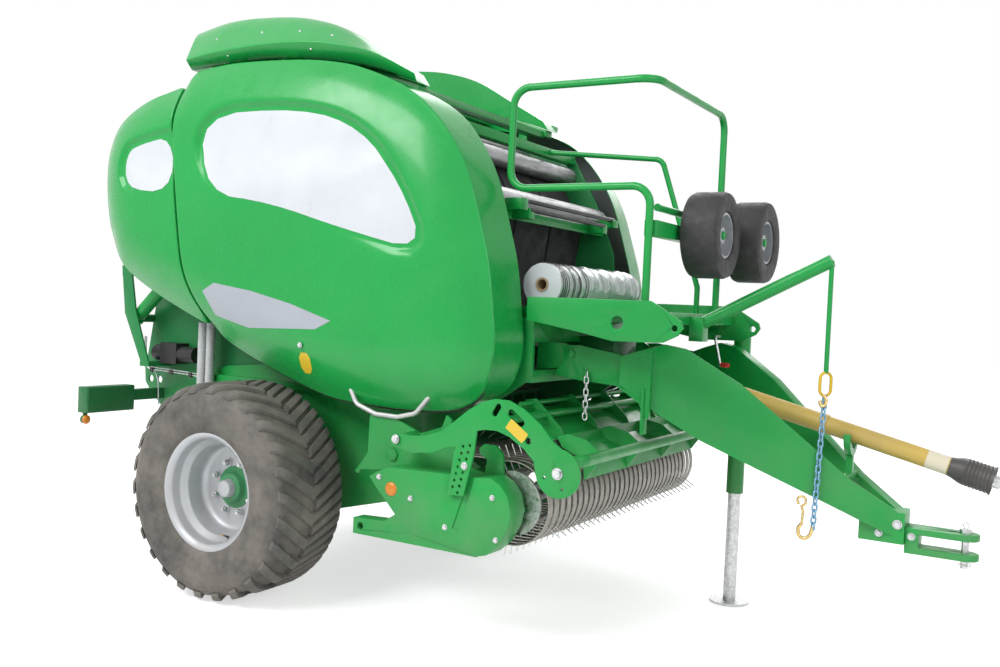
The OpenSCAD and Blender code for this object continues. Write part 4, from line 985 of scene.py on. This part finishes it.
def lug(shape, side, turn, rows):
    """One tread bar: rows of (across, start, width) along its length."""
    rings = []
    for across, start, width in rows:
        low, top = crown_radius(across, -3), crown_radius(across, LUG_HEIGHT)
        section = (
            (-LUG_DRAFT, low), (0, top - 4), (3, top), (width * 0.5, top + 0.4),
            (width - 3, top), (width, top - 4), (width + LUG_DRAFT, low),
        )
        rings.append([
            wheel_point(side, r, turn + (start + off) / LUG_LAYOUT_R, across) for off, r in section
        ])
    shape.loft(rings)


def sidewall(r, y):
    """Moves a point of the carcass out to the rings that are raised on the sidewall."""
    if abs(y) <= SIDEWALL_FROM:
        return r, y
    raised = sum(high * math.exp(-((r - ring_r) / wide) ** 2) for ring_r, high, wide in SIDEWALL_RINGS)
    return r, y + math.copysign(raised, y)


def tyres():
    """Fine tyres with the wide bars of a flotation tread and the rings of their sidewalls."""
    profile = [sidewall(*p) for p in curve_points(CARCASS, 4)]
    section = [
        (r0 + (r1 - r0) * k / 3, y0 + (y1 - y0) * k / 3)
        for (r0, y0), (r1, y1) in zip(profile, profile[1:]) for k in range(3)
    ]
    along = [k / 9 for k in range(10)]
    outer = [(12 + 222 * t, -148 * t ** 1.08, 62 - 8 * t) for t in along]
    inner = [(12 - 246 * t, -122 * t, 46) for t in along]
    short = [(2 - 236 * t, -122 * t, 44) for t in along]
    for side, word in SIDES.items():
        wall = turned("tyre_wall", side, section + [profile[-1]], 150, "tyre", smooth=60)
        bars = Solid()
        pitch = 2 * math.pi / LUGS
        for i in range(LUGS):
            lug(bars, side, i * pitch, inner[::-1] + outer)
            lug(bars, side, i * pitch + pitch / 2, short)
        bars.build(f"tyre_bars_{word}", "tyre_bar", f"wheel_{word}", smooth=28)
        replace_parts(wall, f"tyre_{word}")


def rims():
    """Deep stepped dishes with their nuts, hubs and valves."""
    for side, word in SIDES.items():
        body = f"wheel_{word}"
        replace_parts(turned("rim_dish", side, RIM_SECTION, 120, "wheel_silver", smooth=38), f"rim_{word}")
        nuts = Solid()
        out = Vector((0, side, 0))
        for k in range(NUTS):
            place = wheel_point(side, NUT_CIRCLE_R, 2 * math.pi * (k + 0.5) / NUTS, 4)
            nuts.hexagon(place, out, NUT_ACROSS * MM, NUT_HIGH * MM)
            nuts.rod(place, place + out * STUD_HIGH * MM, STUD_D * MM, 14)
        nuts.build(f"wheel_nuts_{word}", "zinc", body)
        flange = turned("hub_flange", side, HUB_SECTION, 64, "hub_green")
        turned("hub_cap", side, CAP_SECTION, 48, "wheel_silver")
        foot, tip = wheel_point(side, 252, VALVE_TURN, 126), wheel_point(side, 236, VALVE_TURN, 158)
        neck = foot.lerp(tip, 0.4)
        valve = Solid().rod(foot, neck, 15 * MM, 14, cone=11 * MM).rod(neck, tip, 8 * MM, 12)
        valve.build(f"valve_{word}", "black", body)
        cap = Solid().rod(tip, tip + (tip - foot) * 0.3, 10 * MM, 12)
        cap.build(f"valve_cap_{word}", "gold", body)
        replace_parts(flange, f"hub_{word}")
        turned("hub_barrel", side, BARREL_SECTION, 48, "green")


# drive shaft, handles, stickers and fittings


def bent(radius, *points, steps=5):
    """Path in metres with rounded corners, through rows of x, y and z in millimetres."""
    return rounded([at(*p) for p in points], radius, steps)


SHAFT_BACK, SHAFT_FRONT = Vector((1930, 0, 1332)), Vector((3600, 0, 922))
SHAFT_DIR = (SHAFT_FRONT - SHAFT_BACK).normalized()
SHAFT_LEN = (SHAFT_FRONT - SHAFT_BACK).length
# sections of the shaft's pieces: radius and place along it, in metres
TUBE_END = SHAFT_LEN * MM - 0.20
SHAFT_TUBE = (
    (0.058, 0.055), (0.062, 0.06), (0.064, 0.075), (0.060, 0.100), (0.053, 0.125), (0.046, 0.150),
    (0.046, 0.90), (0.0475, 0.902), (0.0475, 0.93), (0.046, 0.932), (0.043, 0.933), (0.043, TUBE_END),
    (0.040, TUBE_END), (0.040, 0.06), (0.058, 0.055),
)
SHAFT_MOUTH = (
    (0.0175, -0.08), (0.0175, -0.005), (0.0215, 0.0), (0.028, 0.0), (0.0285, -0.004), (0.0285, -0.09),
    (0.0001, -0.09), (0.0001, -0.08),
)
BELL_START = ((0.044, 0.19), (0.048, 0.17), (0.058, 0.14), (0.062, 0.12))
BELL_END = ((0.066, 0.004), (0.0665, 0.0), (0.063, 0.0), (0.058, 0.02), (0.056, 0.12), (0.040, 0.185))
BELL_RIBS, BELL_PITCH = 7, 0.016
# where the bells start from the ends, and length and thickness of a yoke and its pin, in millimetres
BELL_FROM_END, YOKE_LEN, YOKE_D, YOKE_PIN_D = 30, 90, 56, 30


def on_shaft(s, y=0):
    """Point at s millimetres from the drive shaft's rear joint, moved sideways by y."""
    p = SHAFT_BACK + SHAFT_DIR * s
    return at(p.x, y, p.z)


def drive_shaft():
    """Guard tubes, bells and yokes of the drive shaft."""
    tube = Solid().revolve(SHAFT_TUBE, on_shaft(0), SHAFT_DIR)
    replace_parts(tube.build("shaft_tube", "shaft_yellow", "shaft", smooth=35), "drive_shaft")
    steps = [k * BELL_PITCH for k in range(BELL_RIBS)]
    ribs = [p for s in steps for p in ((0.064, 0.118 - s), (0.060, 0.112 - s))]
    for name, start, way in (("rear", BELL_FROM_END, 1), ("front", SHAFT_LEN - BELL_FROM_END, -1)):
        bell = Solid().revolve([*BELL_START, *ribs, *BELL_END], on_shaft(start), SHAFT_DIR * way)
        bell.build(f"shaft_bell_{name}", "shaft_black", "shaft", smooth=35)
    yokes = Solid()
    for start in (0, SHAFT_LEN - YOKE_LEN):
        yokes.rod(on_shaft(start - 8), on_shaft(start + YOKE_LEN), YOKE_D * MM, 32)
    for side in SIDES:
        yokes.rod(on_shaft(0, side * 10), on_shaft(0, side * 52), YOKE_PIN_D * MM, 24)
    yokes.build("shaft_yokes", "black_metal", "shaft")
    mouth = Solid().revolve(SHAFT_MOUTH, on_shaft(SHAFT_LEN), SHAFT_DIR)
    mouth.build("shaft_mouth", "zinc", "shaft", smooth=35)
    label = Solid().revolve([(0.0437, 1.40), (0.0437, 1.495)], on_shaft(0), SHAFT_DIR, 64)
    label.build("shaft_label", "cream", "shaft", smooth=60)


# a door's handle from its rear foot to its front foot
HANDLE = (
    (678, 962, 1152), (722, 968, 1082), (850, 972, 1042), (985, 972, 1040), (1090, 968, 1066),
    (1166, 958, 1160),
)
HANDLE_FEET = ((678, 955, 1152), (1166, 950, 1160))
# thickness of the bar and its feet, and how far a foot reaches in and out
HANDLE_D, FOOT_D, FOOT_IN, FOOT_OUT = 24, 34, 22, 10


def door_handles():
    """Bent bars under the doors, with their welded feet."""
    for side, word in SIDES.items():
        path = bent(0.06, *((x, side * y, z) for x, y, z in HANDLE), steps=8)
        bar = Solid().tube(path, HANDLE_D * MM, 16)
        made = bar.build(f"handle_bar_{word}", "silver_bar", f"door_{word}", smooth=50)
        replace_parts(made, f"door_handle_{word}")
        feet = Solid()
        for x, y, z in HANDLE_FEET:
            feet.rod(at(x, side * (y - FOOT_IN), z), at(x, side * (y + FOOT_OUT), z), FOOT_D * MM, 20)
        feet.build(f"handle_feet_{word}", "panel", f"door_{word}")


# rounding, stand over the face and thickness of a sticker on a flat face
STICKER_CORNER, STICKER_LIFT, STICKER_FILM = 6, 0.6, 0.4


def flat_sticker(name, centre, wide, high, axis_u, axis_v, body):
    """Yellow film with rounded corners, laid on a flat face."""
    u, v = Vector(axis_u).normalized(), Vector(axis_v).normalized()
    out = u.cross(v)
    ring = []
    for sx, sy, first in ((1, 1, 0), (-1, 1, 90), (-1, -1, 180), (1, -1, 270)):
        for k in range(4):
            a = math.radians(first + 30 * k)
            x = sx * (wide / 2 - STICKER_CORNER) + STICKER_CORNER * math.cos(a)
            y = sy * (high / 2 - STICKER_CORNER) + STICKER_CORNER * math.sin(a)
            ring.append(centre + (u * x + v * y + out * STICKER_LIFT) * MM)
    Solid().prism(ring, -out * STICKER_FILM * MM).build(name, "yellow", body, smooth=0)


def side_bolts(name, body, sides, rows):
    """Bolt heads on faces that look sideways: rows of x, y, z, width across flats and height."""
    heads = Solid()
    for side in sides:
        for x, y, z, across, high in rows:
            heads.hexagon(at(x, side * y, z), (0, side, 0), across * MM, high * MM)
    heads.build(name, "zinc", body)


COVER_BOLTS = [
    (x, 1099.5, z, 19, 12) for x, z in ((1175, 680), (1624, 744), (1376, 573), (1651, 556), (985, 760))
]
GUARD_BOLTS = ((1959, 1124, 898, 36, 20), (1483.3, 1124, 875.3, 24, 14), (1095, 1129, 957, 30, 16))
DOOR_STICKER = ((367, 1322), (447, 1322), (447, 1212), (367, 1212))
# domed sections of radius and height, in metres
REFLECTOR = ((0.0001, 0.011), (0.02, 0.010), (0.030, 0.006), (0.034, 0.0), (0.036, -0.004), (0.0001, -0.004))
MARKER = ((0.0001, 0.014), (0.018, 0.012), (0.0255, 0.005), (0.0265, 0.0), (0.0265, -0.002), (0.0001, -0.002))


def stickers():
    """Plain stickers, reflectors and the bolts of covers, guards and doors."""
    for side, word in SIDES.items():
        tree = panel_tree(bpy.data.objects[f"door_skin_{word}"])
        decal(f"door_sticker_{word}", DOOR_STICKER, side, tree, "yellow", f"door_{word}", round_off=1)
    for side, word in SIDES.items():
        flat_sticker(
            f"side_sticker_{word}", at(-232, side * 646.4, 1150), 150, 86,
            (-side, 0, 0), (0.06, 0, 1), "frame",
        )
        flat_sticker(
            f"guard_sticker_{word}", at(1748, side * 1124.4, 1062), 108, 52,
            (-side * 0.82, 0, side * 0.57), (0.57, 0, 0.82), "wind_guard",
        )
        lens = Solid().revolve(REFLECTOR, at(1058, side * 1100, 709), (0, side, 0), 40)
        lens.build(f"cover_reflector_{word}", "orange", "pickup", smooth=50)
        side_bolts(f"cover_bolts_{word}", "pickup", (side,), COVER_BOLTS)
        side_bolts(f"guard_bolts_{word}", "wind_guard", (side,), GUARD_BOLTS)
        side_bolts(f"door_bolt_{word}", f"door_{word}", (side,), ((393, 1038, 1361, 20, 10),))


# boxes of a tail lamp: name, finish, ranges of x, y and z, and rounding of the edges
LAMP_BOXES = (
    ("red", "red_lens", (-1152, -1139), (1030, 1192), (892, 1018), 5),
    ("amber", "orange", (-1152, -1139), (880, 1022), (892, 1018), 5),
    ("front", "deep_green", (-1061, -1054), (872, 1198), (884, 1026), 4),
)


def lamps():
    """Lenses and shells of both tail lamps."""
    for side, word in SIDES.items():
        for name, finish, xs, ys, zs, edge in LAMP_BOXES:
            part = Solid().box(xs, ys, zs, side)
            part.build(f"lamp_{name}_{word}", finish, "tailgate", edge=edge, segments=3)
        marker = Solid().revolve(MARKER, at(-1088, side * 1180, 840), (1, 0, 0), 32)
        marker.build(f"lamp_marker_{word}", "orange", "tailgate", smooth=50)


# places of the tubes in millimetres, their reach in metres and the count of their rings
DUCT_X, DUCT_Y, DUCT_Z, DUCT_RINGS = (-640, -572), -734, (0.998, 1.432), 43


def ducts():
    """Corrugated tubes that reach down behind the wheel."""
    low, high = DUCT_Z
    profile = []
    for k in range(DUCT_RINGS):
        z = low + (high - low) * k / DUCT_RINGS
        profile += [(0.0245, z), (0.0275, z + 0.003), (0.0275, z + 0.0055), (0.0245, z + 0.0085)]
    for i, x in enumerate(DUCT_X):
        hose = Solid().revolve(profile, at(x, DUCT_Y, 0), (0, 0, 1), 28)
        made = hose.build(f"duct_hose_{i + 1}", "duct", "frame", smooth=60)
        if i == 0:
            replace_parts(made, "duct_tubes")


# distance from the middle plane and thickness in millimetres, and radius of the bends in metres
PIPE_Y, PIPE_D, PIPE_BEND = 706, 8, 0.03


def pipes():
    """Thin steel pipes and their clamps at the tail."""
    for side, word in SIDES.items():
        y = side * PIPE_Y
        lines, clamps = Solid(), Solid()
        low = y + side * 2
        paths = [
            ((x, y, 1320), (x, y, z), (-1120, y, z - 20), (-800, y, z - 30), (-700, y, z - 36))
            for x, z in ((-1176, 1152), (-1162, 1138))
        ]
        paths.append(((-1120, y, 1118), (-1062, low, 1103), (-1040, low, 1040), (-1031, low, 905)))
        for path in paths:
            lines.tube(bent(PIPE_BEND, *path), PIPE_D * MM, 10)
        lines.build(f"tail_pipes_{word}", "zinc", "tailgate", smooth=50)
        for x, z in ((-1100, 1122), (-930, 1120), (-760, 1114)):
            clamps.box((x - 12, x + 12), (PIPE_Y - 10, PIPE_Y + 10), (z - 22, z + 8), side)
        clamps.build(f"pipe_clamps_{word}", "black", "tailgate")


# steps round a chain's link
LINK_STEPS = 28


def chain_links(name, material, start, end, count, long, wide, wire, turn=0):
    """Round steel links from start to end, every second one turned; long, wide and wire in metres."""
    a, b = at(*start), at(*end)
    along, side, up = cross_axes(b - a)
    steps = LINK_STEPS
    shape = Solid()
    for i in range(count):
        centre = a.lerp(b, (i + 0.5) / count)
        across = side if (i + turn) % 2 else up
        ring = []
        for k in range(steps):
            c, s = math.cos(2 * math.pi * k / steps), math.sin(2 * math.pi * k / steps)
            straight = math.copysign((long - wide) / 2, s) if abs(s) > 0.01 else 0
            ring.append(centre + across * c * (wide - wire) / 2 + along * (s * (wide - wire) / 2 + straight))
        flat = across.cross(along)
        rings = []
        for k in range(steps):
            forward = (ring[(k + 1) % steps] - ring[k - 1]).normalized()
            rings.append(circle(ring[k], forward.cross(flat), flat, wire / 2, 8))
        shape.loft(rings, closed_path=True)
    return shape.build(name, material, "frame", smooth=60)


# bars of the chain's hooks: corner radius in metres, thickness in millimetres, and the points of the path
HOOKS = (
    (0.02, 15, (
        (2856, -212, 1268), (2872, -214, 1246), (2866, -214, 1216), (2846, -214, 1216), (2842, -212, 1240),
    )),
    (0.025, 17, (
        (2846, -238, 652), (2836, -240, 612), (2812, -242, 592), (2784, -242, 604), (2780, -242, 640),
        (2796, -242, 662),
    )),
    (0.02, 12, ((2796, -242, 662), (2800, -242, 716), (2790, -242, 748))),
    (0.016, 12, (
        (2790, -242, 742), (2812, -243, 758), (2808, -244, 786), (2784, -244, 792), (2770, -243, 772),
        (2778, -242, 750),
    )),
)


def chains():
    """Safety chain with its oblong link and hooks, and the guard chain."""
    hook_z = (2860, -200, 1262)
    made = chain_links("safety_links", "blue_chain", hook_z, (2846, -236, 640), 21, 0.046, 0.032, 0.009)
    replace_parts(made, "safety_chain")
    chain_links("yellow_link", "yellow_link", (2860, -200, 1372), hook_z, 1, 0.122, 0.072, 0.014, turn=1)
    hooks = Solid()
    for radius, thick, points in HOOKS:
        hooks.tube(bent(radius, *points), thick * MM)
    hooks.build("chain_hooks", "gold", "frame", smooth=50)
    made = chain_links("guard_links", "zinc", (1800, -546, 1312), (1800, -546, 1076), 8, 0.044, 0.029, 0.0078)
    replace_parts(made, "guard_chain")


# axis of the roll in millimetres and its radius in metres, its ends, and the steps along and round it
NET_X, NET_Z, NET_R = 1560, 1726, 0.1065
NET_ENDS = (-600, 400)
NET_STEPS, NET_SIDES = 90, 64
NET_BANDS = (-585, -566, -547, -520, -470, -455, -400, -388, -330, -300)
BAND_SECTION = ((0.1105, 0.0), (0.112, 0.001), (0.112, 0.005), (0.1105, 0.006))
CORE_SECTION = ((0.026, -0.004), (0.036, -0.004), (0.036, 1.004), (0.026, 1.004), (0.026, -0.004))
END_SECTION = ((0.036, 0.0), (0.106, 0.0), (0.1075, -0.002), (0.036, -0.002))
# boxes over the net roll: ranges of x, y and z
NET_BRACKETS = (
    ((1300, 1420), (-594, -526), (2100, 2160)), ((1300, 1420), (526, 594), (2107, 2153)),
    ((1310, 1412), (-500, -440), (2062, 2118)), ((1310, 1412), (400, 460), (2062, 2118)),
    ((1290, 1312), (-620, 620), (2060, 2140)),
)


def net_roll():
    """Net roll in its crinkled film, with dark bands, core and ends."""
    rng = random.Random(4)
    profile = []
    for k in range(NET_STEPS + 1):
        t = k / NET_STEPS
        crinkle = 0.0022 * math.sin(t * 61) + 0.0016 * math.sin(t * 147 + 1)
        profile.append((NET_R + crinkle + 0.004 * (rng.random() - 0.5), NET_ENDS[0] * MM + t))
    rows = []
    for k in range(NET_SIDES):
        a = 2 * math.pi * k / NET_SIDES
        row = []
        for r, y in profile:
            far = r + 0.0016 * math.sin(5 * a + y * 31) + 0.001 * math.sin(11 * a - y * 57)
            row.append(at(NET_X, 0, NET_Z) + Vector((math.cos(a) * far, y, math.sin(a) * far)))
        rows.append(row)
    roll = Solid().loft(rows, closed_ring=False, closed_path=True)
    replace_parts(roll.build("net_film_roll", "net", "frame", smooth=70), "net_roll")
    bands, ends = Solid(), Solid()
    for y in NET_BANDS:
        bands.revolve(BAND_SECTION, at(NET_X, y, NET_Z), (0, 1, 0), 56)
    bands.build("net_bands", "seal", "frame", smooth=60)
    core = Solid().revolve(CORE_SECTION, at(NET_X, NET_ENDS[0], NET_Z), (0, 1, 0), 32)
    core.build("net_core", "card", "frame")
    for y, way in zip(NET_ENDS, (-1, 1)):
        ends.revolve(END_SECTION, at(NET_X, y, NET_Z), (0, way, 0))
    ends.build("net_ends", "white", "frame")


def net_frame():
    """Bars and brackets over the net roll."""
    rods = Solid().rod(at(1400, -520, 2152), at(1400, 560, 2152), 26 * MM)
    rods.rod(at(1404, -480, 2108), at(1404, 420, 2108), 24 * MM)
    rods.build("net_rods", "black_metal", "frame")
    brackets = Solid()
    for ranges in NET_BRACKETS:
        brackets.box(*ranges)
    brackets.build("net_brackets", "green", "frame", edge=4)


# the hitch pin, its upper clip's loop in x and z, and the height of the ring under it
HITCH_X, CLIP_TOP_Z, CLIP_LOW_Z = 3470, 700, 536
CLIP_LOOP = ((0, -8), (-14, 16), (0, 34), (14, 16), (0, -8))


def hitch_fittings():
    """Clips of the hitch pin, bolts of the drawbar's nose, and the jack's crank."""
    clips = Solid()
    clips.tube(bent(0.012, *((HITCH_X + x, 0, CLIP_TOP_Z + z) for x, z in CLIP_LOOP)), 5 * MM, 8)
    turns = (2 * math.pi * k / 24 for k in range(25))
    low = at(HITCH_X, 0, CLIP_LOW_Z)
    ring = [low + Vector((26 * math.cos(a), 26 * math.sin(a), 4 * math.sin(2 * a))) * MM for a in turns]
    clips.tube(ring, 4 * MM, 8)
    clips.build("hitch_clips", "zinc", "frame", smooth=60)
    rows = ((3190, 80, 690, 30, 18), (3110, 80, 640, 24, 16), (3250, 60, 640, 24, 16))
    side_bolts("hitch_bolts", "frame", (RIGHT, LEFT), rows)
    crank = bent(0.03, (2170, 330, 1500), (2170, 250, 1500), (2200, 235, 1400), (2215, 235, 1340))
    Solid().tube(crank, 16 * MM).build("jack_crank", "zinc", "frame", smooth=50)
    grip = Solid().rod(at(2215, 235, 1350), at(2262, 235, 1348), 26 * MM)
    grip.build("jack_grip", "red", "frame", edge=4)


# thickness of a door's edge strip and how far it hangs below the rim
SEAL_D, SEAL_LOW = 13, 2


def door_seals():
    """Dark edge strips along the doors' lower rims."""
    low = sorted(p for p in soften(DOOR_RIM, 3) if p[1] < 1420 and -400 < p[0] < 1440)
    for side, word in SIDES.items():
        path = [at(x, side * (DOOR_EDGE_Y - min(deep, 60) * 0.4), z - SEAL_LOW) for x, z, deep in low]
        strip = Solid().tube(path, SEAL_D * MM, 10)
        strip.build(f"door_seal_{word}", "seal", f"door_{word}", smooth=60)


bpy.context.scene.view_settings.view_transform = "Standard"
set_camera()
set_world()
set_floor()
for lamp in LIGHTS:
    area_light(*lamp)
dress_nodes()
panels()
hoods()
tyres()
rims()
drive_shaft()
door_handles()
stickers()
lamps()
ducts()
pipes()
chains()
net_roll()
net_frame()
hitch_fittings()
door_seals()
